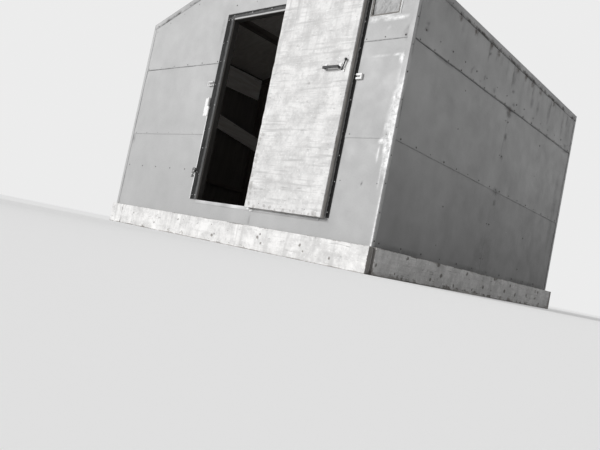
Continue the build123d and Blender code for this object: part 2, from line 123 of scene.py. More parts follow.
@dataclass(frozen=True)
class HutPlan:
    """Main lines of the hut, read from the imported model."""

    front: float
    rear: float
    half_width: float
    eave: float
    ridge: float
    sill: float
    head: float
    door_left: float
    door_right: float
    roof_top: float

    @classmethod
    def from_frame(cls) -> "HutPlan":
        """Read the plan from the boxes of the CAD nodes.

        Returns:
            The plan.
        """
        gable_low, gable_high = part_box("front_gable")
        roof_low, roof_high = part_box("roof_right")
        return cls(
            front=gable_low.y,
            rear=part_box("skirt_rear")[0].y,
            half_width=-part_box("front_wall_left")[0].x,
            eave=roof_low.z,
            ridge=gable_high.z,
            sill=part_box("door_sill_strip")[1].z,
            head=gable_low.z,
            door_left=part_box("door_trim_left")[1].x,
            door_right=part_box("door_trim_right")[0].x,
            roof_top=roof_high.z,
        )

    @property
    def slope(self) -> float:
        """Fall of the roof for each metre away from the ridge."""
        return (self.ridge - self.eave) / self.half_width

    @property
    def pitch(self) -> float:
        """Angle of the roof."""
        return math.atan(self.slope)

    @property
    def roof_lift(self) -> float:
        """Upright thickness of the roof slabs."""
        return self.roof_top - self.ridge

    @property
    def roof_edge(self) -> float:
        """Height of the roof slabs' upper edges over the side walls."""
        return self.eave + self.roof_lift

    @property
    def ends(self) -> tuple[Range, Range]:
        """Depth and outward way of the front and the rear face."""
        return (self.front, -1.0), (self.rear, 1.0)

    @property
    def corners(self) -> list[tuple[int, float, float]]:
        """Side, depth and outward way of each corner of the hut."""
        return [(side, face, way) for side in SIDES for face, way in self.ends]

    def roof_under(self, x: float) -> float:
        """Height of the roof's underside at a distance from the centre line."""
        return self.ridge - self.slope * abs(x)

    def slope_normal(self, side: int) -> Vector:
        """Direction square to a slope."""
        return Vector((side * math.sin(self.pitch), 0.0, math.cos(self.pitch)))

    def up_slope(self, side: int) -> Vector:
        """Direction up a slope."""
        return Vector((-side * math.cos(self.pitch), 0.0, math.sin(self.pitch)))


class Graph:
    """A node tree, built node by node."""

    def __init__(self, tree: NodeTree) -> None:
        """Start from an emptied tree."""
        self.tree = tree
        tree.nodes.clear()

    def add(self, kind: str, settings: dict | None = None, **inputs: object) -> Node:
        """Add a node.

        Args:
            kind: Blender's name of the node type.
            settings: properties of the node.
            **inputs: a value or an output socket for each input, with _ for a space.

        Returns:
            The new node.
        """
        node = self.tree.nodes.new(kind)
        for name, value in (settings or {}).items():
            setattr(node, name, value)
        for label, value in inputs.items():
            wanted = label.replace("_", " ").lower()
            self.feed(next(s for s in node.inputs if s.name.lower() == wanted and s.enabled), value)
        return node

    def feed(self, socket: NodeSocket, value: object) -> None:
        """Link an output socket to an input, or set the input's value.

        Args:
            socket: the input.
            value: its value, or the output that feeds it.
        """
        if isinstance(value, NodeSocket):
            self.tree.links.new(value, socket)
        elif isinstance(value, tuple) and socket.type == "RGBA":
            socket.default_value = (*value[:3], 1.0)
        else:
            socket.default_value = value

    def step(self, kind: str, *values: object, **settings: object) -> NodeSocket:
        """Add a node whose inputs are fed in order.

        Args:
            kind: Blender's name of the node type.
            *values: a value or an output socket for each input.
            **settings: properties of the node.

        Returns:
            The node's first output.
        """
        node = self.add(kind, settings)
        for socket, value in zip(node.inputs, values):
            self.feed(socket, value)
        return node.outputs[0]

    def math(self, kind: str, first: object, second: object = 0.0) -> NodeSocket:
        """One arithmetic step."""
        return self.step("ShaderNodeMath", first, second, operation=kind)

    def times(self, first: object, second: object) -> NodeSocket:
        """Product of two values."""
        return self.math("MULTIPLY", first, second)

    def plus(self, first: object, second: object) -> NodeSocket:
        """Sum of two values."""
        return self.math("ADD", first, second)


class ShaderGraph(Graph):
    """A material's node tree, which reads Object coordinates."""

    def __init__(self, name: str) -> None:
        """Start an empty material.

        Args:
            name: the material's name.
        """
        self.material = bpy.data.materials.new(name)
        self.material.use_nodes = True
        super().__init__(self.material.node_tree)
        self.position = self.add("ShaderNodeTexCoord").outputs["Object"]

    def mapped(self, scale: Sequence[float], shift: Sequence[float] = (0.0, 0.0, 0.0)) -> NodeSocket:
        """Object coordinates stretched on each axis."""
        return self.add("ShaderNodeMapping", vector=self.position, scale=scale, location=shift).outputs["Vector"]

    def noise(self, scale: float, detail: float = 3.0, vector: NodeSocket | None = None, rough: float = 0.55,
              distortion: float = 0.0) -> NodeSocket:
        """Fractal noise between 0 and 1."""
        return self.add("ShaderNodeTexNoise", vector=vector or self.position, scale=scale, detail=detail,
                        roughness=rough, distortion=distortion).outputs["Fac"]

    def cells(self, scale: float, vector: NodeSocket | None = None) -> NodeSocket:
        """Distance to the nearest of scattered points."""
        node = self.add("ShaderNodeTexVoronoi", vector=vector or self.position, scale=scale)
        return node.outputs["Distance"]

    def span(self, value: NodeSocket, low: float, high: float, start: float = 0.0, end: float = 1.0) -> NodeSocket:
        """Carry a value from one range to another, held at both ends."""
        return self.add("ShaderNodeMapRange", {"clamp": True}, value=value, from_min=low, from_max=high,
                        to_min=start, to_max=end).outputs["Result"]

    def cloud(self, scale: float, detail: float, low: float, high: float, start: float = 0.0, end: float = 1.0,
              rough: float = 0.55) -> NodeSocket:
        """Fractal noise carried from one range to another."""
        return self.span(self.noise(scale, detail, rough=rough), low, high, start, end)

    def blend(self, share: NodeSocket, first: object, second: object) -> NodeSocket:
        """Mix two colours by a share.

        Args:
            share: share of the second colour.
            first: first colour or its socket.
            second: second colour or its socket.

        Returns:
            The mixed colour.
        """
        node = self.add("ShaderNodeMix", {"data_type": "RGBA"})
        for index, value in ((0, share), (6, first), (7, second)):
            self.feed(node.inputs[index], value)
        return node.outputs[2]

    def mark(self, name: str) -> NodeSocket:
        """A number stored on the mesh's points, 0 where the mesh has none."""
        return self.add("ShaderNodeAttribute", {"attribute_name": name}).outputs["Fac"]

    def place(self, axis: str) -> NodeSocket:
        """X, Y or Z of the shaded place."""
        return self.add("ShaderNodeSeparateXYZ", vector=self.position).outputs[axis]

    def spots(self, places: Spots) -> NodeSocket:
        """Ragged spots, each given by its place and radius.

        Args:
            places: place and radius of each spot.

        Returns:
            Strength between 0 and 1.
        """
        ragged = self.cloud(45.0, 4.0, 0.3, 0.7, 0.55, 1.5)
        total = self.plus(0.0, 0.0)
        for x, y, z, radius in places:
            away = self.add("ShaderNodeVectorMath", {"operation": "DISTANCE"})
            self.feed(away.inputs[0], self.position)
            self.feed(away.inputs[1], (x, y, z))
            near = self.span(self.times(away.outputs["Value"], ragged), radius * 0.6, radius, 1.0, 0.0)
            total = self.math("MAXIMUM", total, near)
        return total

    def cracks(self, vector: NodeSocket) -> NodeSocket:
        """Thin lines where a stretched noise crosses its middle, broken by a second noise."""
        nearness = self.math("ABSOLUTE", self.math("SUBTRACT", self.noise(26.0, 2.0, vector), 0.5))
        return self.times(self.span(nearness, 0.0, 0.012, 1.0, 0.0), self.cloud(18.6, 2.0, 0.5, 0.62))

    def surface(self, color: object, roughness: object, height: NodeSocket | None = None, distance: float = 0.001,
                metallic: float = 0.0, specular: float = 0.4, alpha: object = 1.0) -> Material:
        """Finish the material with one surface shader.

        Args:
            color: base colour or its socket.
            roughness: roughness or its socket.
            height: socket with the bump's height, or None for no bump.
            distance: depth of the bump in metres.
            metallic: share of bare metal.
            specular: specular level.
            alpha: share of light that is stopped, or its socket.

        Returns:
            The finished material.
        """
        shader = self.add("ShaderNodeBsdfPrincipled", base_color=color, roughness=roughness, metallic=metallic,
                          specular_ior_level=specular, alpha=alpha)
        if height is not None:
            bump = self.add("ShaderNodeBump", height=height, distance=distance)
            self.feed(shader.inputs["Normal"], bump.outputs["Normal"])
        return self.finish(shader.outputs["BSDF"])

    def finish(self, shader: NodeSocket) -> Material:
        """Close the tree with its output."""
        self.add("ShaderNodeOutputMaterial", surface=shader)
        return self.material


@dataclass(frozen=True)
class SheetFinish:
    """Painted or dull sheet metal with mottling, runs of dirt, specks and rust, painted highlights, painted shade
    towards the foot, and dark lap lines that are painted shade mixed with dirt.
    """

    name: str
    color: Color
    grime: Color
    rust: Color = (0.07, 0.058, 0.05)
    mottle: float = 0.12
    specks: float = 0.5
    roughness: float = 0.55
    specular: float = 0.4
    foot: float = 0.0

    def material(self) -> Material:
        """Build the node tree.

        Returns:
            The material.
        """
        g = ShaderGraph(self.name)
        cloud = g.cloud(2.3, 4.0, 0.3, 0.7, 1.0 - self.mottle, 1.0 + self.mottle * 0.5)
        drift = g.span(g.noise(5.0, 5.0, g.mapped((1.0, 1.0, 0.12))), 0.3, 0.7, 1.0 - self.mottle * 0.7, 1.02)
        # Darker towards the ground by the foot share: painted shade near the foot of the wall.
        tone = g.times(g.times(cloud, drift), g.span(g.place("Z"), 0.12, 0.95, 1.0 - self.foot, 1.0))
        color = g.add("ShaderNodeVectorMath", {"operation": "SCALE"}, vector=self.color, scale=tone).outputs["Vector"]
        fine = g.noise(190.0, 3.0)
        color = g.blend(g.span(fine, 0.55, 0.8, 0.0, 0.22), color, self.grime)
        # The mark holds stains and dirt, and along each lap a dark line that is painted shade of the lap mixed with
        # dirt.
        dirt_and_shade = g.times(g.mark("grime"), g.cloud(34.0, 6.0, 0.3, 0.62, 0.25, 1.3, 0.65))
        color = g.blend(g.math("MINIMUM", dirt_and_shade, 1.0), color, self.grime)
        dots = g.span(g.cells(23.0), 0.02, 0.055, self.specks, 0.0)
        color = g.blend(g.times(dots, g.cloud(3.1, 2.0, 0.47, 0.6)), color, self.grime)
        bright = g.span(g.cells(17.0, g.mapped((1.0, 1.0, 1.0), (0.37, 0.11, 0.53))), 0.015, 0.05, 0.6, 0.0)
        color = g.blend(g.times(bright, g.cloud(2.7, 2.0, 0.55, 0.66)), color, grey(0.85))
        oxide = g.times(g.mark("rust"), g.cloud(60.0, 6.0, 0.35, 0.58, 0.0, 1.6, 0.7))
        color = g.blend(g.math("MINIMUM", oxide, 1.0), color, self.rust)
        # Painted highlight: where the mark is set, the colour is lifted towards near white, broken by noise.
        broken = g.cloud(48.0, 5.0, 0.36, 0.56, 0.25, 1.0, 0.65)
        color = g.blend(g.times(g.span(g.mark("shine"), 0.0, 1.0), broken), color, grey(0.92))
        rough = g.cloud(11.0, 4.0, 0.3, 0.7, self.roughness - 0.08, self.roughness + 0.12)
        height = g.plus(g.times(g.noise(7.0, 3.0), 0.6), g.times(fine, 0.12))
        return g.surface(color, rough, height, 0.0006, specular=self.specular)


@dataclass(frozen=True)
class Paint:
    """Worn paint on wood: how it thins, streaks, wears off and lets dark spots through."""

    color: Color
    thin: float
    blotch: float
    lines: float
    strokes: float
    stroke_from: float
    bare: float
    foot_wear: float
    spots: Spots
    spot_share: float = 0.85


@dataclass(frozen=True)
class WoodFinish:
    """Sawn wood or plywood, bare or under worn paint."""

    name: str
    grain: Grain
    pale: Color
    dark: Color
    paint: Paint | None = None
    knots: float = 0.0
    stain: float = 0.15
    cracks: float = 0.5
    roughness: float = 0.75
    bump: float = 0.0008

    def material(self) -> Material:
        """Build the node tree.

        Returns:
            The material.
        """
        g = ShaderGraph(self.name)
        along = g.mapped(self.grain.value)
        fibre = g.noise(150.0, 4.0, along, 0.6)
        ring = g.math("SINE", g.times(g.noise(9.0, 2.0, along, 0.5, 0.6), 46.0))
        body = g.plus(g.times(g.span(ring, -1.0, 1.0), 0.45), g.times(fibre, 0.75))
        color = g.blend(g.span(body, 0.25, 0.95), self.pale, self.dark)
        color = g.blend(g.cloud(3.7, 5.0, 0.38, 0.72, 0.0, self.stain * 2.0), color, self.dark)
        split = g.times(g.cracks(along), self.cracks)
        if self.knots:
            stretch = tuple(0.4 if part < 0.5 else 1.0 for part in self.grain.value)
            knot = g.span(g.cells(self.knots, g.mapped(stretch)), 0.03, 0.1, 1.0, 0.0)
            color = g.blend(knot, color, self.dark)
        if self.paint:
            color = self.painted(g, color, along, fibre)
        deep = tuple(part * 0.3 for part in self.dark)
        color = g.blend(split, color, deep)
        color = g.blend(g.times(g.mark("side"), 0.8), color, self.dark)
        rough = g.span(fibre, 0.2, 0.8, self.roughness - 0.1, min(1.0, self.roughness + 0.12))
        height = g.math("SUBTRACT", g.times(fibre, 0.7), split)
        return g.surface(color, rough, height, self.bump, specular=0.3)

    def painted(self, g: ShaderGraph, color: NodeSocket, along: NodeSocket, fibre: NodeSocket) -> NodeSocket:
        """Lay worn paint over the wood.

        Args:
            g: the node tree.
            color: colour of the bare wood.
            along: coordinates stretched along the grain.
            fibre: fine pattern of the fibres.

        Returns:
            Colour socket of the painted wood.
        """
        coat = self.paint
        thin = tuple(part * coat.thin for part in coat.color)
        paint = g.blend(g.cloud(9.0, 8.0, 0.4, 0.66, 0.0, coat.blotch, 0.66), coat.color, thin)
        paint = g.blend(g.cloud(31.0, 6.0, 0.5, 0.66, 0.0, coat.blotch * 0.6, 0.7), paint, thin)
        paint = g.blend(g.cloud(85.0, 3.0, 0.6, 0.72, 0.0, 0.7), paint, grey(0.92))
        paint = g.blend(g.span(g.noise(60.0, 4.0, along, 0.6), 0.5, 0.72, 0.0, coat.lines), paint, thin)
        brush = g.span(g.noise(24.0, 4.0, g.mapped((1.0, 1.0, 0.09))), 0.52, 0.7, 0.0, coat.strokes)
        upper = g.span(g.place("Z"), coat.stroke_from - 0.3, coat.stroke_from + 0.3, 0.15, 1.0)
        paint = g.blend(g.times(brush, upper), paint, thin)
        worn = g.plus(g.noise(13.0, 8.0, rough=0.68), g.times(fibre, 0.3))
        worn = g.plus(worn, g.times(g.mark("edge"), 0.16))
        worn = g.plus(worn, g.span(g.place("Z"), 0.0, 0.04, coat.foot_wear, 0.0))
        limit = 0.96 - 0.2 * coat.bare
        shown = g.blend(g.span(worn, limit, limit + 0.08), paint, color)
        return g.blend(g.times(g.spots(coat.spots), coat.spot_share), shown, self.dark)


@dataclass(frozen=True)
class MetalFinish:
    """Small fittings: dull steel, or chipped paint over it."""

    name: str
    color: Color
    worn: Color
    wear: float = 0.35
    roughness: float = 0.5
    metallic: float = 0.0
    dark_below: float | None = None

    def material(self) -> Material:
        """Build the node tree.

        Returns:
            The material.
        """
        g = ShaderGraph(self.name)
        patch = g.noise(90.0, 6.0, rough=0.7)
        color = g.blend(g.span(patch, 0.62 - self.wear * 0.3, 0.7 - self.wear * 0.2), self.color, self.worn)
        color = g.blend(g.cloud(600.0, 2.0, 0.5, 0.8, 0.0, 0.3), color, self.worn)
        if self.dark_below is not None:
            low = g.span(g.place("Z"), self.dark_below, self.dark_below + 0.01, 1.0, 0.0)
            color = g.blend(g.times(low, g.cloud(55.0, 3.0, 0.42, 0.5, 0.1, 1.0)), color, grey(0.035))
        rough = g.span(patch, 0.3, 0.7, self.roughness, min(1.0, self.roughness + 0.25))
        return g.surface(color, rough, patch, 0.0004, self.metallic, 0.5)


@dataclass(frozen=True)
class RubberFinish:
    """Dark strip with pale specks and scuffs, black or worn pale over a part of it."""

    name: str
    color: Color
    speck: Color
    black_from: float | None = None
    pale_within: Range | None = None

    def material(self) -> Material:
        """Build the node tree.

        Returns:
            The material.
        """
        g = ShaderGraph(self.name)
        cloud = g.noise(16.0, 5.0, g.mapped((1.0, 1.0, 0.35)))
        color = g.blend(g.span(cloud, 0.45, 0.8, 0.0, 0.35), self.color, self.speck)
        dots = g.span(g.cells(75.0), 0.05, 0.13, 0.9, 0.0)
        color = g.blend(g.times(dots, g.cloud(9.0, 2.0, 0.46, 0.6)), color, self.speck)
        color = g.blend(g.span(g.mark("edge"), 0.0, 1.0, 0.0, 0.5), color, self.speck)
        if self.black_from is not None:
            ragged = g.plus(g.place("X"), g.cloud(70.0, 4.0, 0.3, 0.7, -0.003, 0.003))
            color = g.blend(g.span(ragged, self.black_from, self.black_from + 0.005), color, grey(0.018))
        if self.pale_within is not None:
            left, top = self.pale_within
            stray = g.cloud(45.0, 4.0, 0.3, 0.7, -0.004, 0.004)
            inner = g.span(g.plus(g.place("X"), stray), left, left + 0.005)
            under = g.span(g.plus(g.place("Z"), stray), top, top + 0.005, 1.0, 0.0)
            worn = g.times(g.times(inner, under), g.span(cloud, 0.35, 0.6, 0.6, 1.0))
            color = g.blend(worn, color, grey(0.115))
        return g.surface(color, g.span(cloud, 0.3, 0.7, 0.65, 0.9), g.noise(120.0, 4.0), 0.0007, specular=0.12)


@dataclass(frozen=True)
class FilmFinish:
    """Thin clear film, milky with age, with a band of painted shadow down the left edge."""

    name: str
    color: Color
    left: float

    def material(self) -> Material:
        """Build the node tree.

        Returns:
            The material.
        """
        g = ShaderGraph(self.name)
        haze = g.noise(24.0, 5.0)
        # Painted shadow: the film darkens towards its left edge, as the shade of the hole's side.
        painted_shadow = g.times(g.span(g.place("X"), self.left + 0.012, self.left + 0.034, 1.0, 0.0),
                       g.span(haze, 0.3, 0.6, 0.7, 1.0))
        return g.surface(g.blend(painted_shadow, self.color, grey(0.03)), 0.38, specular=0.25,
                         alpha=g.span(haze, 0.3, 0.7, 0.75, 0.95))


def in_scene(name: str, data: object) -> Object:
    """A new object of the scene that shows some data.

    Args:
        name: the object's name.
        data: its mesh, camera or lamp.

    Returns:
        The object.
    """
    obj = bpy.data.objects.new(name, data)
    bpy.context.scene.collection.objects.link(obj)
    return obj


def publish(obj: Object, slot: str, replaced: Iterable[str] = (), body: Body = Body.HUT) -> None:
    """Attach a finished piece to the body it rides on, hide the CAD nodes it stands for, and report it.

    Args:
        obj: the finished piece.
        slot: not used.
        replaced: CAD nodes that it stands for.
        body: body that carries it.
    """
    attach(obj, body.value)
    if replaced:
        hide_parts(*replaced)
    LOG.info("piece %s: %d faces", obj.name, len(obj.data.polygons))


def joined(name: str, parts: Iterable[BMesh]) -> Object:
    """Join closed parts in one object, shaded smooth up to its sharp edges.

    Args:
        name: the object's name.
        parts: closed meshes, freed when they are in.

    Returns:
        The object.
    """
    whole = bmesh.new()
    for part in parts:
        mesh = bpy.data.meshes.new("part")
        part.to_mesh(mesh)
        part.free()
        whole.from_mesh(mesh)
        bpy.data.meshes.remove(mesh)
    mesh = bpy.data.meshes.new(name)
    whole.to_mesh(mesh)
    whole.free()
    for face in mesh.polygons:
        face.use_smooth = True
    mesh.set_sharp_from_angle(angle=SHARP_ANGLE)
    return in_scene(name, mesh)


class Palette:
    """All finishes of the hut, built once."""

    def __init__(self, plan: HutPlan) -> None:
        """Make every material.

        Args:
            plan: main lines of the hut.
        """
        edge_rust = (0.035, 0.03, 0.027)
        timber = (grey(0.2, 0.1), grey(0.09, 0.14))
        fitting = (grey(0.8), (0.2, 0.15, 0.12), 0.15, 0.45)
        finishes = [
            # The side walls' paint is the front paint made darker, with darker grime and a strong foot: painted shade
            # for the side walls.
            SheetFinish("cladding_paint", grey(0.43), grey(0.12), mottle=0.08, foot=0.06),
            SheetFinish("side_cladding_paint", grey(0.36), grey(0.05), mottle=0.14, specks=0.9, foot=0.4),
            SheetFinish("roof_sheet", grey(0.4), grey(0.2), mottle=0.2, roughness=0.68, specular=0.2),
            SheetFinish("edge_sheet", grey(0.5), grey(0.07), edge_rust, 0.25, 0.9, 0.66, 0.2),
            SheetFinish("bare_edge", grey(0.8), grey(0.3), mottle=0.2, roughness=0.3),
            SheetFinish("sill_sheet", grey(0.58), grey(0.15), mottle=0.5, roughness=0.5),
            WoodFinish("skirt_paint_x", Grain.X, grey(0.5, 0.04), grey(0.17, 0.08),
                       Paint(grey(0.82, 0.01), 0.62, 0.85, 0.4, 0.7, -0.3, 0.65, 0.12, self.end_knots(plan)),
                       knots=6.0, stain=0.1),
            WoodFinish("skirt_paint_y", Grain.Y, grey(0.42, 0.04), grey(0.12, 0.08),
                       Paint(grey(0.68, 0.01), 0.62, 0.85, 0.5, 0.5, -0.3, 1.0, 0.2, self.side_knots(plan)),
                       knots=8.0),
            WoodFinish("leaf_paint", Grain.X, grey(0.5, 0.04), grey(0.22, 0.06),
                       Paint(grey(0.76, 0.008), 0.6, 0.75, 0.8, 0.75, 1.25, 0.55, 0.0, self.leaf_marks(), 0.4),
                       stain=0.1, cracks=0.35, roughness=0.7, bump=0.0009),
            *(WoodFinish("timber_" + axis.name.lower(), axis, *timber, knots=5.0) for axis in Grain),
            # Near black: painted shade on the studs, header and sill round the doorway.
            WoodFinish("jamb_wood", Grain.Z, grey(0.055, 0.06), grey(0.03, 0.08)),
            WoodFinish("wall_ply", Grain.Z, grey(0.2, 0.06), grey(0.14, 0.07), stain=0.3),
            WoodFinish("roof_ply", Grain.X, grey(0.62, 0.04), grey(0.5, 0.05), stain=0.3),
            WoodFinish("deck_ply", Grain.X, grey(0.6, 0.05), grey(0.34, 0.07), stain=0.4, cracks=0.8),
            WoodFinish("pale_board", Grain.Y, grey(0.9, 0.02), grey(0.72, 0.04), knots=4.0),
            WoodFinish("batten_wood", Grain.Z, grey(0.55, 0.04), grey(0.27, 0.07), knots=5.0),
            WoodFinish("bead_wood", Grain.X, grey(0.26, 0.05), grey(0.12, 0.05)),
            RubberFinish("trim_rubber", grey(0.014), grey(0.17),
                         pale_within=(plan.door_left - 0.022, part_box("door_trim_head")[0].z + 0.013)),
            # The right trim's pale tone is painted light, lifting the strip out of the leaf's shadow beside it; beyond
            # black_from it is black like the other trims.
            RubberFinish("trim_rubber_scuffed", grey(0.3), grey(0.5), plan.door_right + 0.045),
            MetalFinish("dark_steel", grey(0.035), grey(0.1), 0.4, 0.6, 0.2),
            MetalFinish("white_fitting", *fitting),
            MetalFinish("old_fitting", *fitting, dark_below=0.6),
            MetalFinish("zinc_steel", grey(0.42), grey(0.2), 0.35, 0.45, 0.5),
            MetalFinish("nail_steel", grey(0.22), (0.1, 0.075, 0.06), 0.5, 0.5, 0.2),
            MetalFinish("nail_dark", grey(0.06), (0.05, 0.04, 0.033), 0.5, 0.7),
            MetalFinish("bright_nail", grey(0.75), grey(0.3), 0.2, 0.4),
            FilmFinish("clear_film", grey(0.36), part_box("window_film")[0].x),
        ]
        self.made = {finish.name: finish.material() for finish in finishes}
        LOG.info("%d finishes", len(self.made))

    @staticmethod
    def end_knots(plan: HutPlan) -> Spots:
        """Dark spots of the skirt boards on the front and rear.

        Args:
            plan: main lines of the hut.

        Returns:
            Place and radius of each spot.
        """
        spots = ((0.03, 0.041, 0.013), (0.05, 0.052, 0.009), (0.44, 0.08, 0.012), (0.475, 0.05, 0.009),
                 (0.46, 0.1, 0.008), (0.78, 0.08, 0.01), (0.81, 0.05, 0.007), (-0.35, 0.1, 0.007),
                 (-0.62, 0.05, 0.009), (1.0, 0.04, 0.01), (-0.9, 0.09, 0.007))
        return (*((x, plan.front - SKIRT, z, radius) for x, z, radius in spots),
                *((-x * 0.93, plan.rear + SKIRT, 0.14 - z, radius) for x, z, radius in spots))

    @staticmethod
    def side_knots(plan: HutPlan) -> Spots:
        """Dark spots of the skirt boards on both sides.

        Args:
            plan: main lines of the hut.

        Returns:
            Place and radius of each spot.
        """
        spots = ((0.02, 0.054, 0.011), (0.63, 0.136, 0.022), (0.68, 0.072, 0.017), (0.57, 0.039, 0.012),
                 (1.0, 0.119, 0.014), (1.25, 0.059, 0.017), (1.585, 0.066, 0.016), (1.67, 0.109, 0.013),
                 (1.78, 0.055, 0.016), (1.985, 0.068, 0.014), (0.2, 0.03, 0.01), (0.3, 0.125, 0.012),
                 (0.85, 0.03, 0.012), (1.4, 0.128, 0.014), (2.2, 0.11, 0.014), (1.1, 0.03, 0.01))
        return (*((plan.half_width + SKIRT, plan.front + run, z, radius) for run, z, radius in spots),
                *((-plan.half_width - SKIRT, plan.rear - run, z, radius) for run, z, radius in spots))

    @staticmethod
    def leaf_marks() -> Spots:
        """Dirt and knocks along the lower edges of the leaf.

        Returns:
            Place and radius of each spot.
        """
        low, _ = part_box("door_panel")
        places = []
        for number in range(15):
            first = ripple(number * 2.3, 1.7, 4.0)
            second = ripple(number * 1.9, 8.3, 4.0)
            up = 0.015 + 0.032 * number + 0.05 * second
            places.append((low.x + 0.004 + 0.05 * abs(first), low.y, low.z + up, 0.007 + 0.03 * abs(second)))
            run = 0.03 + 0.04 * number + 0.06 * first
            places.append((low.x + run, low.y, low.z + 0.002 + 0.04 * abs(second), 0.005 + 0.022 * abs(first)))
        return tuple(places)

    def dress(self, obj: Object, material: str) -> None:
        """Give an object one material."""
        obj.data.materials.clear()
        obj.data.materials.append(self.made[material])

    def dress_nodes(self) -> None:
        """Give the CAD nodes that stay their materials."""
        for material, nodes in (
                ("wall_ply", ("front_wall_left", "front_wall_right", "front_wall_sill", "front_gable", "rear_wall",
                              "left_wall", "right_wall")),
                ("roof_ply", ("roof_left", "roof_right")),
                ("timber_x", ("floor_rims", "bottom_plates", "rafters")),
                ("timber_y", ("floor_joists", "top_plates", "side_wall_girts", "ridge_board", "purlins")),
                ("timber_z", ("side_wall_studs", "rear_wall_studs")),
                # The front wall's studs take the near-black jamb wood, painted shade of the doorway.
                ("jamb_wood", ("front_wall_studs",)),
                ("deck_ply", ("floor_deck",)),
                ("pale_board", ("left_wall_brace",)),
                ("bead_wood", ("window_beads",)),
                ("zinc_steel", ("hinge_post_leaves", "hinge_door_leaves")),
                ("dark_steel", ("door_handle", "door_latch")),
                ("white_fitting", ("latch_keeper", "wall_hook")),
                ("old_fitting", ("old_hinge_leaves",))):
            for node in nodes:
                self.dress(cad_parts[node], material)

    def piece(self, name: str, parts: Iterable[BMesh], material: str, slot: str, replaced: Iterable[str] = (),
              body: Body = Body.HUT) -> None:
        """Join closed parts in one dressed piece and attach it to the body it rides on.

        Args:
            name: the piece's name.
            parts: its closed parts.
            material: its finish.
            slot: material slot of the record.
            replaced: CAD nodes that it stands for.
            body: body that carries it.
        """
        obj = joined(name, parts)
        self.dress(obj, material)
        publish(obj, slot, replaced, body)


def lines_between(low: float, high: float, cell: float, extra: Iterable[float] = ()) -> list[float]:
    """Grid lines from low to high about a cell apart, with extra lines where edges fall.

    Args:
        low: first line.
        high: last line.
        cell: usual distance.
        extra: places that need a line of their own.

    Returns:
        The lines in order.
    """
    count = max(1, round((high - low) / cell))
    fixed = {round(value, 6) for value in extra if low + 1e-5 < value < high - 1e-5}
    lines = {round(low, 6), round(high, 6)} | fixed
    for index in range(1, count):
        line = round(low + (high - low) * index / count, 6)
        if all(abs(line - value) > cell * 0.3 for value in fixed):
            lines.add(line)
    return sorted(lines)


@dataclass
class Plate:
    """A thin closed plate laid out on a grid, with marks stored on its points."""

    lines_u: Sequence[float]
    lines_v: Sequence[float]
    front: Callable[[float, float], Vector]
    back: Callable[[float, float], Vector]
    keep: Callable[[float, float], bool] = lambda u, v: True
    clamp: Field = lambda u, v: v
    marks: dict[str, Field] = field(default_factory=dict)

    def mesh(self) -> BMesh:
        """The plate, closed and facing outwards.

        Returns:
            The mesh.
        """
        bm = bmesh.new()
        layers = {name: bm.verts.layers.float.new(name) for name in self.marks}
        near: dict[tuple[int, int], BMVert] = {}
        far: dict[tuple[int, int], BMVert] = {}
        cells = [(i, k) for i in range(len(self.lines_u) - 1) for k in range(len(self.lines_v) - 1)
                 if self.cell_kept(i, k)]
        for i, k in sorted({(i + a, k + b) for i, k in cells for a in (0, 1) for b in (0, 1)}):
            u = self.lines_u[i]
            v = self.clamp(u, self.lines_v[k])
            near[i, k] = bm.verts.new(self.front(u, v))
            far[i, k] = bm.verts.new(self.back(u, v))
            for name, rule in self.marks.items():
                near[i, k][layers[name]] = far[i, k][layers[name]] = rule(u, v)
        edges: dict[tuple, None] = {}
        for i, k in cells:
            ring = [(i, k), (i + 1, k), (i + 1, k + 1), (i, k + 1)]
            bm.faces.new([near[c] for c in ring])
            bm.faces.new([far[c] for c in reversed(ring)])
            edges.update(dict.fromkeys(zip(ring, ring[1:] + ring[:1])))
        for start, end in edges:
            if (end, start) not in edges:
                bm.faces.new([near[end], near[start], far[start], far[end]])
        bmesh.ops.remove_doubles(bm, verts=bm.verts, dist=WELD)
        bmesh.ops.dissolve_degenerate(bm, dist=WELD, edges=bm.edges)
        bmesh.ops.recalc_face_normals(bm, faces=bm.faces)
        return bm

    def cell_kept(self, i: int, k: int) -> bool:
        """Whether a grid cell holds any of the plate.

        Args:
            i: number of the cell along u.
            k: number of the cell along v.

        Returns:
            True where it does.
        """
        u0, u1 = self.lines_u[i], self.lines_u[i + 1]
        v0, v1 = self.lines_v[k], self.lines_v[k + 1]
        if not self.keep((u0 + u1) / 2, (v0 + v1) / 2):
            return False
        return max(self.clamp(u, v1) - self.clamp(u, v0) for u in (u0, u1)) > 1e-6


@dataclass(frozen=True)
class Dent:
    """A dent or, where its depth is negative, a bulge in a sheet."""

    u: float
    z: float
    radius: float
    depth: float
    crumple: float = 0.0

    def offset(self, u: float, z: float) -> float:
        """Outward move of the sheet at a place.

        Args:
            u: run along the sheet.
            z: height up the sheet.

        Returns:
            Distance in metres.
        """
        away = math.hypot(u - self.u, z - self.z) / self.radius
        if away >= 1.0:
            return 0.0
        rough = self.crumple * ripple(u * 42.0, z * 34.0, self.radius * 100.0)
        return (1.0 - away * away) ** 2 * (rough - self.depth)


@dataclass(frozen=True)
class Stain:
    """A soft mark on a sheet, wider or taller as its radii say."""

    u: float
    z: float
    radius_u: float
    radius_z: float
    strength: float = 1.0

    def value(self, u: float, z: float) -> float:
        """Strength of the mark at a place."""
        away = ((u - self.u) / self.radius_u) ** 2 + ((z - self.z) / self.radius_z) ** 2
        return self.strength * max(0.0, 1.0 - away)


def strongest(stains: Sequence[Stain]) -> Field:
    """The greatest of several marks at each place."""
    return lambda u, z: max((stain.value(u, z) for stain in stains), default=0.0)


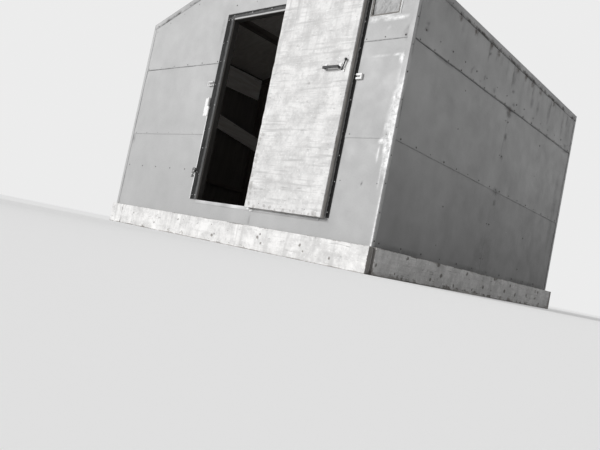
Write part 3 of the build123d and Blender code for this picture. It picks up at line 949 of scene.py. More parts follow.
@dataclass(frozen=True)
class Sheet:
    """One sheet of cladding: its run along the wall and the heights of its edges at both ends."""

    u: Range
    low: Range
    high: Range | None
    lapped: bool
    seed: int
    cell: float = 0.017
    dirt_and_shade: float = 0.8

    def edge(self, pair: Range, u: float) -> float:
        """Height of a straight edge of the sheet at a run."""
        share = (u - self.u[0]) / (self.u[1] - self.u[0])
        return pair[0] + (pair[1] - pair[0]) * share

    def ripple(self, x: float, y: float, shift: float = 0.0) -> float:
        """Smooth noise of this sheet alone."""
        return ripple(x, y, self.seed + shift)


@dataclass
class SheetWall:
    """A wall or slope clad in lapped sheets over the slab of the model."""

    name: str
    slot: str
    material: str
    origin: Vector
    along: Vector
    rising: Vector
    outward: Vector
    sheets: list[Sheet]
    flat_ends: Range
    top: Callable[[float], float] | None = None
    holes: Sequence[tuple[Range, Range]] = ()
    dents: Sequence[Dent] = ()
    grime: Sequence[Stain] = ()
    rust: Sequence[Stain] = ()
    shine: Sequence[Stain] = ()
    thin_top: float = 99.0
    skin: float = 1.5 * MM
    lap_rise: float = 2.0 * MM
    lap_reach: float = 0.055
    flat_reach: float = 0.03
    fine_steps: tuple[float, ...] = (0.003, 0.0065, 0.0105, 0.02, 0.035)

    def place(self, u: float, z: float, out: float) -> Vector:
        """Point at a run, a height up the wall and a distance out of it."""
        return self.origin + self.along * u + self.rising * z + self.outward * out

    def proud(self, sheet: Sheet, u: float, z: float) -> float:
        """Distance of the sheet's face from the slab.

        Args:
            sheet: the sheet.
            u: run along the sheet.
            z: height up the sheet.

        Returns:
            Distance in metres.
        """
        value = self.skin + 0.45 * MM * sheet.ripple(u * 1.9, z * 2.3) + 0.15 * MM * sheet.ripple(u * 8.0, z * 9.0)
        if sheet.lapped:
            rise = self.lap_rise + 1.1 * MM * max(-0.4, sheet.ripple(u * 9.0, 0.0, 2.0))
            rise *= ease(min(u - self.flat_ends[0], self.flat_ends[1] - u), 0.0, self.flat_reach)
            value += rise * max(0.0, 1.0 - (z - sheet.edge(sheet.low, u)) / self.lap_reach) ** 1.3
        for dent in self.dents:
            value += dent.offset(u, z)
        value -= (value - 0.5 * MM) * ease(z, self.thin_top, self.thin_top + 0.05)
        return max(value, 0.4 * MM)

    def dirt_and_shade(self, sheet: Sheet, u: float, z: float) -> float:
        """Dirt and painted shade at a place: stains, and a broken dark line along the lap that is painted shade of the
        lap mixed with dirt.

        Args:
            sheet: the sheet.
            u: run along the sheet.
            z: height up the sheet.

        Returns:
            Share of grime and painted lap shade.
        """
        value = strongest(self.grime)(u, z)
        # Along the lap's lower edge a dark line is painted: shade of the lap, mixed with dirt.
        if sheet.lapped:
            above = z - sheet.edge(sheet.low, u)
            line = max(0.0, 1.0 - above / (0.006 + 0.0014 * sheet.dirt_and_shade))
            value = max(value, sheet.dirt_and_shade * line * (0.85 + 0.6 * sheet.ripple(u * 5.0, 6.0)))
        return value

    def plate(self, sheet: Sheet) -> Plate:
        """Lay out one sheet.

        Args:
            sheet: the sheet.

        Returns:
            Its plate.
        """
        top_edge = self.top if sheet.high is None else (lambda u: sheet.edge(sheet.high, u))
        high = max(top_edge(u) for u in (*sheet.u, min(max(0.0, sheet.u[0]), sheet.u[1])))
        low = min(sheet.low)
        edge_u = [value for hole in self.holes for value in hole[0]]
        edge_z = [value for hole in self.holes for value in hole[1]]
        fine = [low + step for step in self.fine_steps] if sheet.lapped else []

        def clamp(u: float, z: float) -> float:
            """Height of a grid point, held between the sheet's wavy foot and its top."""
            foot = sheet.edge(sheet.low, u) + (1.2 * MM * sheet.ripple(u * 13.0, 3.0) if sheet.lapped else 0.0)
            return min(top_edge(u), z + (foot - low) * max(0.0, 1.0 - (z - low) / 0.12))

        return Plate(
            lines_between(*sheet.u, sheet.cell, edge_u),
            lines_between(low, high, sheet.cell, [*edge_z, *fine]),
            lambda u, z: self.place(u, z, self.proud(sheet, u, z)),
            lambda u, z: self.place(u, z, 0.1 * MM),
            lambda u, z: not any(us[0] < u < us[1] and zs[0] < z < zs[1] for us, zs in self.holes),
            clamp,
            {"grime": lambda u, z: self.dirt_and_shade(sheet, u, z), "rust": strongest(self.rust),
             "shine": strongest(self.shine)},
        )

    def build(self, palette: Palette) -> None:
        """Build all sheets of the wall as one piece on the hut."""
        palette.piece(self.name, (self.plate(sheet).mesh() for sheet in self.sheets), self.material, self.slot)


@dataclass
class BentStrip:
    """A thin metal angle over an edge, with wavy free edges."""

    start: Vector
    end: Vector
    legs: tuple[Vector, Vector]
    widths: Range
    outward: tuple[Vector, Vector]
    seed: int
    proud: Range = (1.6 * MM, 3.4 * MM)
    waver: float = 1.4 * MM
    lift: Range = (0.9 * MM, 0.9 * MM)
    cell: float = 0.014
    rust: Sequence[float] = ()
    creep: float = 0.0
    shine: float = 0.0
    bend_share: float = 1.0
    glare: Range = NOWHERE
    first_leg_rust: float = 0.4
    highlight_end: float = 0.85
    dirt_and_shade: float = 0.9
    lines: tuple[float, ...] = (-1.0, -0.8, -0.5, -0.22, -0.08, 0.0, 0.08, 0.22, 0.5, 0.8, 1.0)

    def ripple(self, x: float, y: float, shift: float = 0.0) -> float:
        """Smooth noise of this strip alone."""
        return ripple(x, y, self.seed + shift)

    def point(self, along: float, across: float, out: float) -> Vector:
        """Point of the strip.

        Args:
            along: distance from the start.
            across: -1 at the first leg's free edge, 0 at the bend, 1 at the second's.
            out: distance out of the covered faces.

        Returns:
            The point in the frame.
        """
        side = 0 if across < 0 else 1
        share = abs(across)
        width = self.widths[side] + self.waver * self.ripple(along * 11.0, side * 5.0)
        lifted = out + self.lift[side] * share ** 3 * max(0.0, 0.4 + self.ripple(along * 7.0, side * 3.0, 9.0))
        bend = self.start + (self.end - self.start).normalized() * along
        lifted *= self.bend_share + (1.0 - self.bend_share) * ease(share, 0.0, 0.3)
        if share < 1e-6:
            return bend + (self.outward[0] + self.outward[1]) * (out * self.bend_share)
        return bend + self.legs[side] * width * share + self.outward[side] * lifted

    def rusty(self, u: float, v: float) -> float:
        """Rust at a place: round the nails, and creeping up the second leg.

        Args:
            u: distance from the start.
            v: place across the strip, as in point.

        Returns:
            Share of rust.
        """
        value = self.creep * (0.75 + 1.3 * self.ripple(u * 5.3, 2.4) + 0.9 * self.ripple(u * 17.7, 6.3))
        value *= ease(v, 0.45, 0.95) * ease(u, 0.2, 0.5) * (1.0 - ease(u, 2.0, 2.3))
        for place in self.rust:
            chance = self.ripple(place * 19.0, 4.0, v)
            reach = 0.03 + 0.035 * chance
            mark = (0.95 + 1.2 * chance) * (1.0 - abs(u - place - 0.02 * chance) / reach)
            value = max(value, mark * ease(abs(v), 0.3, 0.85) * (1.0 if v > 0.0 else self.first_leg_rust))
        return value

    def edge_dirt(self, u: float, v: float) -> float:
        """Dirt along the second leg's free edge.

        Args:
            u: distance from the start.
            v: place across the strip, as in point.

        Returns:
            Share of grime.
        """
        reach = 0.78 + 0.25 * self.ripple(u * 6.0, 3.0)
        broken = 0.55 + 0.8 * self.ripple(u * 6.3, 1.4) + 0.7 * self.ripple(u * 15.7, 5.2)
        return self.dirt_and_shade * ease(v, reach - 0.1, reach + 0.12) * max(0.0, broken)

    def bright(self, u: float, v: float) -> float:
        """Painted highlight on the bend, and a painted patch of glare on the first leg.

        Args:
            u: distance from the start.
            v: place across the strip, as in point.

        Returns:
            Share of painted highlight.
        """
        line = self.shine * (1.0 - ease(abs(v), 0.08, 0.3)) * (0.8 + 0.6 * self.ripple(u * 9.0, 2.0))
        line *= 1.0 - ease(u, self.highlight_end, self.highlight_end + 0.08)
        if v >= 0.0:
            return line
        first, last = self.glare
        patch = ease(u, first - 0.06, first) * (1.0 - ease(u, last, last + 0.06))
        return max(line, patch * (0.85 + 0.7 * self.ripple(u * 14.0, 7.0) - 0.35 * abs(v)))

    def mesh(self) -> BMesh:
        """The strip, closed and facing outwards.

        Returns:
            The mesh.
        """
        return Plate(
            lines_between(0.0, (self.end - self.start).length, self.cell),
            self.lines,
            lambda u, v: self.point(u, v, self.proud[1]),
            lambda u, v: self.point(u, v, self.proud[0]),
            marks={"rust": self.rusty, "grime": self.edge_dirt, "shine": self.bright},
        ).mesh()


def solid_boxes(node: str) -> list[tuple[Vector, Vector]]:
    """Low and high corners of each solid of a CAD node, sorted by place.

    Args:
        node: the node's name.

    Returns:
        Pairs of corners.
    """
    bm = bmesh.new()
    bm.from_mesh(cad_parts[node].data)
    bmesh.ops.remove_doubles(bm, verts=bm.verts, dist=1e-5)
    seen: set[BMVert] = set()
    boxes = []
    for first in bm.verts:
        if first in seen:
            continue
        stack = [first]
        seen.add(first)
        group = []
        while stack:
            vert = stack.pop()
            group.append(vert.co.copy())
            fresh = [other for other in (edge.other_vert(vert) for edge in vert.link_edges) if other not in seen]
            seen.update(fresh)
            stack += fresh
        boxes.append(tuple(Vector(pick(co[axis] for co in group) for axis in range(3)) for pick in (min, max)))
    bm.free()
    return sorted(boxes, key=lambda pair: tuple(pair[0]))


@dataclass
class WornBoards:
    """Boards in place of box-shaped CAD nodes or of given boxes, with eased, chipped edges and a little warp."""

    name: str
    nodes: tuple[str, ...]
    slot: str
    material: str
    body: Body = Body.HUT
    cell: float = 0.03
    bevel: float = 1.6 * MM
    chip: float = 1.2 * MM
    warp: float = 0.5 * MM
    seed: int = 1
    shallow_axis: int = 1
    extra: Sequence[tuple[Sequence[float], Sequence[float]]] = ()
    band: float = 6.0 * MM
    most_cuts: int = 120
    chip_scale: float = 24.0
    warp_scale: float = 2.2

    def board(self, low: Vector, high: Vector, seed: float) -> BMesh:
        """One board between two corners.

        Args:
            low: low corner.
            high: high corner.
            seed: seed of the board.

        Returns:
            The closed mesh.
        """
        bm = bmesh.new()
        bmesh.ops.create_cube(bm, size=1.0)
        size = high - low
        middle = (high + low) / 2
        for vert in bm.verts:
            vert.co = Vector(middle[a] + vert.co[a] * size[a] for a in range(3))
        reach = min(self.bevel, min(size) * 0.3)
        bmesh.ops.bevel(bm, geom=bm.edges[:], offset=reach, segments=2, profile=0.6, affect="EDGES")
        for axis in range(3):
            count = min(self.most_cuts, int(size[axis] / self.cell))
            cuts = [low[axis] + size[axis] * step / count for step in range(1, count)]
            if size[axis] > 3.0 * self.band:
                cuts = [cut for cut in cuts if self.band * 1.3 < cut - low[axis] < size[axis] - self.band * 1.3]
                cuts += [low[axis] + self.band, high[axis] - self.band]
            for cut in cuts:
                point = Vector(low)
                point[axis] = cut
                normal = Vector((0.0, 0.0, 0.0))
                normal[axis] = 1.0
                bmesh.ops.bisect_plane(bm, geom=bm.verts[:] + bm.edges[:] + bm.faces[:], plane_co=point,
                                       plane_no=normal)
        for name in ("side", "edge"):
            bm.verts.layers.float.new(name)
        for vert in bm.verts:
            self.weather(bm, vert, low, high, reach, seed)
        bmesh.ops.recalc_face_normals(bm, faces=bm.faces)
        return bm

    def weather(self, bm: BMesh, vert: BMVert, low: Vector, high: Vector, reach: float, seed: float) -> None:
        """Chip and warp one point of a board, and store its marks.

        Args:
            bm: the board.
            vert: the point.
            low: low corner of the board.
            high: high corner of the board.
            reach: width of the eased edges.
            seed: seed of the board.
        """
        marks = bm.verts.layers.float
        place = vert.co.copy()
        inset = [min(place[a] - low[a], high[a] - place[a]) for a in range(3)]
        on_edge = sorted(inset)[1] < reach * 1.01
        flat = inset[self.shallow_axis]
        long_axis = max(range(3), key=lambda a: high[a] - low[a])
        at_end = inset[long_axis] < reach * 0.5 and flat > reach
        vert[marks["side"]] = 1.0 if at_end else (0.3 if flat > reach else 0.0)
        vert[marks["edge"]] = float(on_edge)
        if on_edge:
            rough = noise.noise(place * self.chip_scale + sideways(seed))
            deep = self.chip * max(0.0, rough * 1.5)
            for a in range(3):
                if inset[a] < reach * 1.01:
                    vert.co[a] += deep if place[a] < (low[a] + high[a]) / 2 else -deep
        bend = noise.noise(place * self.warp_scale + rearward(seed * 3.0))
        middle = (low[self.shallow_axis] + high[self.shallow_axis]) / 2
        outer = -1.0 if place[self.shallow_axis] < middle else 1.0
        vert.co[self.shallow_axis] -= outer * self.warp * abs(bend)

    def build(self, palette: Palette) -> None:
        """Build every board of the nodes as one piece.

        Args:
            palette: finishes of the hut.
        """
        boxes = [pair for node in self.nodes for pair in solid_boxes(node)]
        boxes += [(Vector(low), Vector(high)) for low, high in self.extra]
        parts = (self.board(low, high, self.seed + number * 1.7) for number, (low, high) in enumerate(boxes))
        palette.piece(self.name, parts, self.material, self.slot, self.nodes, self.body)


@dataclass
class NailHeads:
    """Nail or screw heads set by Geometry Nodes on a list of places."""

    name: str
    material: str
    slot: str
    body: Body = Body.HUT
    radius: float = 3.2 * MM
    height: float = 1.1 * MM
    spread: float = 0.25
    seed: int = 3
    sides: int = 10
    top_share: float = 0.62
    places: list[tuple[Vector, Vector]] = field(default_factory=list)

    def row(self, start: Sequence[float], end: Sequence[float], facing: Vector, spacing: float,
            jitter: float = 0.004) -> None:
        """Add a row of heads.

        Args:
            start: first place.
            end: last place.
            facing: direction in which the heads look.
            spacing: distance between two heads.
            jitter: how far a head may stray from its place.
        """
        first = Vector(start)
        run = Vector(end) - first
        count = max(1, round(run.length / spacing))
        cross = run.normalized().cross(facing)
        for index in range(count + 1):
            place = first + run * (index / count)
            if 0 < index < count or count == 1:
                shake = ripple(index * 3.7, len(self.places) * 0.37, self.seed)
                place += cross * (jitter * shake) + run.normalized() * (jitter * 2.0 * shake)
            self.places.append((place, facing))

    def tree(self, material: Material) -> NodeTree:
        """Geometry Nodes tree that sets a low cone on every point.

        Args:
            material: finish of the heads.

        Returns:
            The tree.
        """
        g = Graph(bpy.data.node_groups.new(self.name + "_tree", "GeometryNodeTree"))
        for way, label, kind in (("INPUT", "Geometry", "Geometry"), ("INPUT", "Head Radius", "Float"),
                                 ("INPUT", "Head Height", "Float"), ("INPUT", "Size Spread", "Float"),
                                 ("INPUT", "Seed", "Int"), ("OUTPUT", "Geometry", "Geometry")):
            g.tree.interface.new_socket(label, in_out=way, socket_type="NodeSocket" + kind)
        given = g.add("NodeGroupInput").outputs
        radius, spread = given["Head Radius"], given["Size Spread"]
        head = g.add("GeometryNodeMeshCone", vertices=self.sides, radius_bottom=radius,
                     radius_top=g.times(radius, self.top_share), depth=given["Head Height"])
        facing = g.add("GeometryNodeInputNamedAttribute", {"data_type": "FLOAT_VECTOR"}, name="facing")
        turn = g.add("FunctionNodeAlignRotationToVector", {"axis": "Z"}, vector=facing.outputs["Attribute"])
        chance = g.add("FunctionNodeRandomValue", {"data_type": "FLOAT"}, min=g.math("SUBTRACT", 1.0, spread),
                       max=g.plus(1.0, spread), seed=given["Seed"])
        spot = g.add("GeometryNodeInstanceOnPoints", points=given["Geometry"], instance=head.outputs["Mesh"],
                     rotation=turn.outputs["Rotation"], scale=next(s for s in chance.outputs if s.enabled))
        real = g.add("GeometryNodeRealizeInstances", geometry=spot.outputs["Instances"])
        paint = g.add("GeometryNodeSetMaterial", geometry=real.outputs["Geometry"], material=material)
        g.add("NodeGroupOutput", geometry=paint.outputs["Geometry"])
        return g.tree

    def build(self, palette: Palette) -> None:
        """Set the heads, bake them and attach them to their body.

        Args:
            palette: finishes of the hut.
        """
        points = bpy.data.meshes.new(self.name + "_points")
        points.from_pydata([tuple(place) for place, _ in self.places], [], [])
        looks = points.attributes.new("facing", "FLOAT_VECTOR", "POINT")
        looks.data.foreach_set("vector", [part for _, facing in self.places for part in facing])
        carrier = in_scene(self.name + "_carrier", points)
        modifier = carrier.modifiers.new("heads", "NODES")
        modifier.node_group = self.tree(palette.made[self.material])
        values = {"Head Radius": self.radius, "Head Height": self.height, "Size Spread": self.spread,
                  "Seed": self.seed}
        for item in modifier.node_group.interface.items_tree:
            if item.in_out == "INPUT" and item.name in values:
                modifier[item.identifier] = values[item.name]
        graph = bpy.context.evaluated_depsgraph_get()
        mesh = bpy.data.meshes.new_from_object(carrier.evaluated_get(graph), depsgraph=graph)
        mesh.name = self.name
        carrier.modifiers.remove(modifier)
        bpy.data.objects.remove(carrier)
        publish(in_scene(self.name, mesh), self.slot, body=self.body)


@dataclass
class Cladding:
    """Lapped sheets on the four walls."""

    plan: HutPlan
    palette: Palette
    lower: float = 0.697
    upper: float = 1.229
    upper_left: float = 1.197
    lower_rise: float = -0.014
    upper_rise: float = 0.030
    overlap: float = 0.022
    corner: float = 1.5 * MM
    foot: float = 0.142
    low_seam: float = 0.301

    def gable(self, name: str, way: float, left_lap: float, right_lap: float, seam: float, seed: int,
              **extra: object) -> SheetWall:
        """A gable wall of six sheets, from its left edge to its right edge.

        Args:
            name: the piece's name.
            way: -1 for the front wall, 1 for the rear wall.
            left_lap: height of the upper lap on the left.
            right_lap: height of the upper lap on the right.
            seam: place of the lower sheets' joint.
            seed: seed of the first sheet.
            **extra: holes and marks of the wall.

        Returns:
            The wall.
        """
        plan, over = self.plan, self.overlap
        edge = plan.half_width - self.corner
        sheets = [
            Sheet((-edge, seam), (self.foot,) * 2, (self.lower + over,) * 2, False, seed),
            Sheet((seam, edge), (self.foot,) * 2, (self.lower + over,) * 2, False, seed + 1, 0.0095),
            Sheet((-edge, 0.0), (self.lower - 0.002, self.lower), (left_lap + over,) * 2, True, seed + 2, dirt_and_shade=0.45),
            Sheet((0.0, edge), (self.lower, self.lower - 0.003), (right_lap + over,) * 2, True, seed + 3, 0.011,
                  dirt_and_shade=0.35),
            Sheet((-edge, 0.0), (left_lap + 0.002, left_lap - 0.002), None, True, seed + 4, dirt_and_shade=1.3),
            Sheet((0.0, edge), (right_lap + 0.003, right_lap - 0.002), None, True, seed + 4),
        ]
        return SheetWall(
            name, "cladding", "cladding_paint", rearward(plan.front if way < 0 else plan.rear), sideways(-way), UP,
            rearward(way), sheets, (-plan.half_width, plan.half_width), top=lambda x: plan.roof_under(x) - 1.0 * MM,
            **extra)

    def front(self) -> SheetWall:
        """Front wall with the doorway and the window cut out.

        Returns:
            The wall.
        """
        plan = self.plan
        window_low, window_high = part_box("window_beads")
        dents = [Dent(u, z, radius, depth * MM, crumple * MM) for u, z, radius, depth, crumple in (
            (1.185, 0.635, 0.075, -1.4, 3.4), (1.16, 0.69, 0.06, -1.2, 3.0), (1.175, 0.775, 0.06, -1.0, 2.0),
            (1.185, 0.93, 0.085, -1.2, 2.6), (1.18, 1.125, 0.06, -0.9, 3.2), (1.04, 1.14, 0.08, -0.6, 1.6),
            (1.05, 1.345, 0.09, -0.5, 2.2), (0.98, 1.17, 0.06, 0.9, 0.0), (-0.62, 1.22, 0.07, 0.8, 0.0),
            (-0.98, 0.69, 0.06, 0.9, 0.0), (-0.6, 0.35, 0.12, 0.7, 0.0), (0.2, 0.19, 0.05, 0.8, 0.0),
            (-1.05, 1.0, 0.1, 0.7, 0.0), (1.02, 0.3, 0.07, 0.8, 0.0))]
        grime = [Stain(*row) for row in (
            (-0.35, 1.45, 0.02, 0.12, 0.35), (0.30, 0.175, 0.007, 0.035, 0.45), (-1.19, 0.66, 0.04, 0.05, 0.5),
            (1.19, 1.26, 0.03, 0.05, 0.6), (1.085, 0.454, 0.008, 0.012, 0.9), (1.19, 0.72, 0.03, 0.02, 0.7),
            (1.2, 0.585, 0.012, 0.02, 0.6))]
        # Painted highlights on crumpled metal by the right corner and under the window.
        shine = [Stain(*row) for row in (
            (1.194, 0.646, 0.022, 0.06, 1.0), (1.165, 0.682, 0.03, 0.02, 1.0), (1.187, 1.12, 0.022, 0.035, 1.0),
            (1.15, 1.145, 0.03, 0.008, 0.8), (1.045, 1.138, 0.09, 0.006, 0.5), (1.185, 0.91, 0.016, 0.03, 0.9),
            (1.195, 0.97, 0.012, 0.06, 0.6), (1.17, 0.76, 0.014, 0.03, 0.7), (1.06, 1.35, 0.05, 0.012, 0.9),
            (0.95, 1.355, 0.025, 0.01, 0.9), (1.07, 1.3, 0.02, 0.008, 0.5), (1.2, 0.8, 0.045, 0.18, 0.6),
            (1.194, 0.88, 0.03, 0.1, 0.7), (1.2, 1.02, 0.03, 0.1, 0.35), (1.2, 0.55, 0.02, 0.14, 0.7),
            (1.15, 0.61, 0.008, 0.05, 0.9), (1.12, 1.345, 0.06, 0.01, 0.9), (0.955, 1.353, 0.045, 0.012, 1.1),
            (1.03, 1.357, 0.05, 0.009, 0.9))]
        return self.gable(
            "front_sheets", -1.0, self.upper_left, self.upper, self.low_seam, 10, dents=dents, grime=grime,
            shine=shine, holes=(((plan.door_left, plan.door_right), (plan.sill, plan.head)),
                                ((window_low.x, window_high.x), (window_low.z, window_high.z))))

    def rear(self) -> SheetWall:
        """Rear wall, with both upper laps at one height.

        Returns:
            The wall.
        """
        dents = [Dent(-0.7, 0.4, 0.12, 0.9 * MM), Dent(0.5, 1.0, 0.14, 0.9 * MM), Dent(0.9, 0.3, 0.08, 1.0 * MM)]
        grime = [Stain(-0.2, 0.3, 0.05, 0.2, 0.3), Stain(0.6, 1.2, 0.2, 0.03, 0.5), Stain(-0.8, 1.2, 0.15, 0.03, 0.5)]
        return self.gable("rear_sheets", 1.0, self.upper, self.upper, -0.2, 30, dents=dents, grime=grime)

    def side(self, side: int, name: str, seed: int) -> SheetWall:
        """Side wall, whose upper lap climbs to the rear and whose lower lap falls.

        Args:
            side: -1 for the left wall, 1 for the right wall.
            name: the piece's name.
            seed: seed of the first sheet.

        Returns:
            The wall.
        """
        plan, over = self.plan, self.overlap
        front, rear = plan.front + self.corner, plan.rear - self.corner
        middle = (plan.front + plan.rear) / 2
        mid_upper, end_upper = self.upper + self.upper_rise / 2, self.upper + self.upper_rise
        mid_lower, end_lower = self.lower + self.lower_rise / 2, self.lower + self.lower_rise
        sheets = [
            Sheet((front, middle), (self.foot,) * 2, (self.lower + over, mid_lower + over), False, seed),
            Sheet((middle, rear), (self.foot,) * 2, (mid_lower + over, end_lower + over), False, seed + 1),
            Sheet((front, middle + 0.012), (self.lower, mid_lower), (self.upper + over, mid_upper + over), True,
                  seed + 2, dirt_and_shade=0.6),
            Sheet((middle, rear), (mid_lower, end_lower), (mid_upper + over, end_upper + over), True, seed + 3),
            Sheet((front, rear), (self.upper, end_upper), (plan.eave - 1.0 * MM,) * 2, True, seed + 4, dirt_and_shade=3.2),
        ]
        # The side sheets take the darker copy of the front paint, which is painted shade.
        return SheetWall(
            name, "cladding", "side_cladding_paint", sideways(side * plan.half_width), rearward(1.0), UP,
            sideways(side), sheets, (plan.front, plan.rear), dents=self.side_dents(seed),
            grime=self.side_grime_and_shade(side, seed), rust=self.side_rust(side))

    def side_dents(self, seed: int) -> list[Dent]:
        """Shallow dents over a side wall.

        Args:
            seed: seed of the wall.

        Returns:
            The dents.
        """
        spots = ((0.25, 0.5), (0.7, 1.05), (1.0, 0.3), (1.5, 0.9), (1.9, 0.45), (2.2, 1.1), (0.5, 1.4), (1.7, 1.4))
        return [Dent(self.plan.front + run, height, 0.09 + 0.04 * ripple(run, height, seed),
                     (0.6 + 0.15 * (number % 3)) * MM) for number, (run, height) in enumerate(spots)]

    def run_place(self, side: int, run: float) -> float:
        """Place along a side wall: from the front on the right wall, from the rear on the left."""
        return self.plan.front + run if side > 0 else self.plan.rear - run

    def side_grime_and_shade(self, side: int, seed: int) -> list[Stain]:
        """Runs of dirt under the eave and above the skirt, and dark marks on the laps that are painted shade mixed with
        dirt.

        Args:
            side: -1 for the left wall, 1 for the right wall.
            seed: seed of the wall.

        Returns:
            The stains.
        """
        rows = []
        for number in range(26):
            run = 0.1 + number * 0.09 + 0.03 * ripple(number * 1.3, 0.0, seed)
            drop = 0.05 + 0.07 * abs(ripple(number * 2.1, 4.0, seed))
            depth = (0.25 + 0.4 * (number % 4 == 0)) * (0.3 if run < 0.8 else 1.0)
            rows.append((run, 1.53 - drop * 0.6, 0.016, drop, depth))
        # Stains at lap height darken the laps: painted shade of the laps mixed with dirt.
        rows += [
            (1.22, 1.245, 0.10, 0.018, 1.0), (1.232, 1.218, 0.045, 0.035, 0.8), (0.33, 1.232, 0.12, 0.01, 0.6),
            (2.0, 1.255, 0.2, 0.008, 0.7), (2.3, 1.26, 0.1, 0.02, 0.7), (1.24, 0.69, 0.05, 0.03, 0.7),
            (1.236, 1.366, 0.014, 0.014, 1.0), (1.243, 1.061, 0.03, 0.03, 0.8), (1.25, 0.92, 0.02, 0.02, 0.6),
            (1.263, 0.619, 0.018, 0.018, 0.9), (1.25, 0.3, 0.2, 0.2, 0.22), (0.118, 1.343, 0.02, 0.013, 0.6),
            (0.112, 1.312, 0.018, 0.012, 0.6), (0.832, 1.467, 0.014, 0.013, 1.0), (0.673, 1.312, 0.014, 0.011, 0.7),
            (0.649, 1.293, 0.014, 0.012, 0.7), (0.822, 1.31, 0.014, 0.014, 1.0), (0.772, 1.268, 0.012, 0.01, 0.7),
            (0.967, 1.285, 0.014, 0.024, 0.7), (1.275, 1.29, 0.025, 0.016, 0.8), (1.552, 1.4, 0.03, 0.05, 0.5),
            (1.667, 1.4, 0.025, 0.06, 0.6), (1.876, 1.42, 0.03, 0.09, 0.5), (2.17, 1.42, 0.03, 0.1, 0.5),
            (1.217, 1.46, 0.025, 0.07, 0.55), (2.3, 1.42, 0.06, 0.1, 0.35), (2.3, 1.29, 0.06, 0.02, 0.6),
            (0.3, 0.15, 0.25, 0.02, 0.5), (1.1, 0.15, 0.4, 0.02, 0.5), (2.0, 0.15, 0.4, 0.025, 0.6),
            (1.221, 0.95, 0.006, 0.3, 0.3), (1.225, 0.45, 0.006, 0.3, 0.3), (2.3, 0.75, 0.05, 0.4, 0.3)]
        return [Stain(self.run_place(side, run), *rest) for run, *rest in rows]

    def side_rust(self, side: int) -> list[Stain]:
        """Rust below a few nails of the eave and on the joint.

        Args:
            side: -1 for the left wall, 1 for the right wall.

        Returns:
            The stains.
        """
        places = ((0.425, 1.525), (0.62, 1.52), (0.83, 1.52), (0.94, 1.515), (1.23, 1.235), (1.244, 1.52),
                  (1.39, 1.52), (1.51, 1.515), (1.67, 1.51), (1.94, 1.515))
        return [Stain(self.run_place(side, run), height, 0.025, 0.03, 0.95) for run, height in places]

    def build(self) -> None:
        """Build the sheets of all four walls."""
        for wall in (self.front(), self.rear(), self.side(1, "right_sheets", 50), self.side(-1, "left_sheets", 70)):
            wall.build(self.palette)


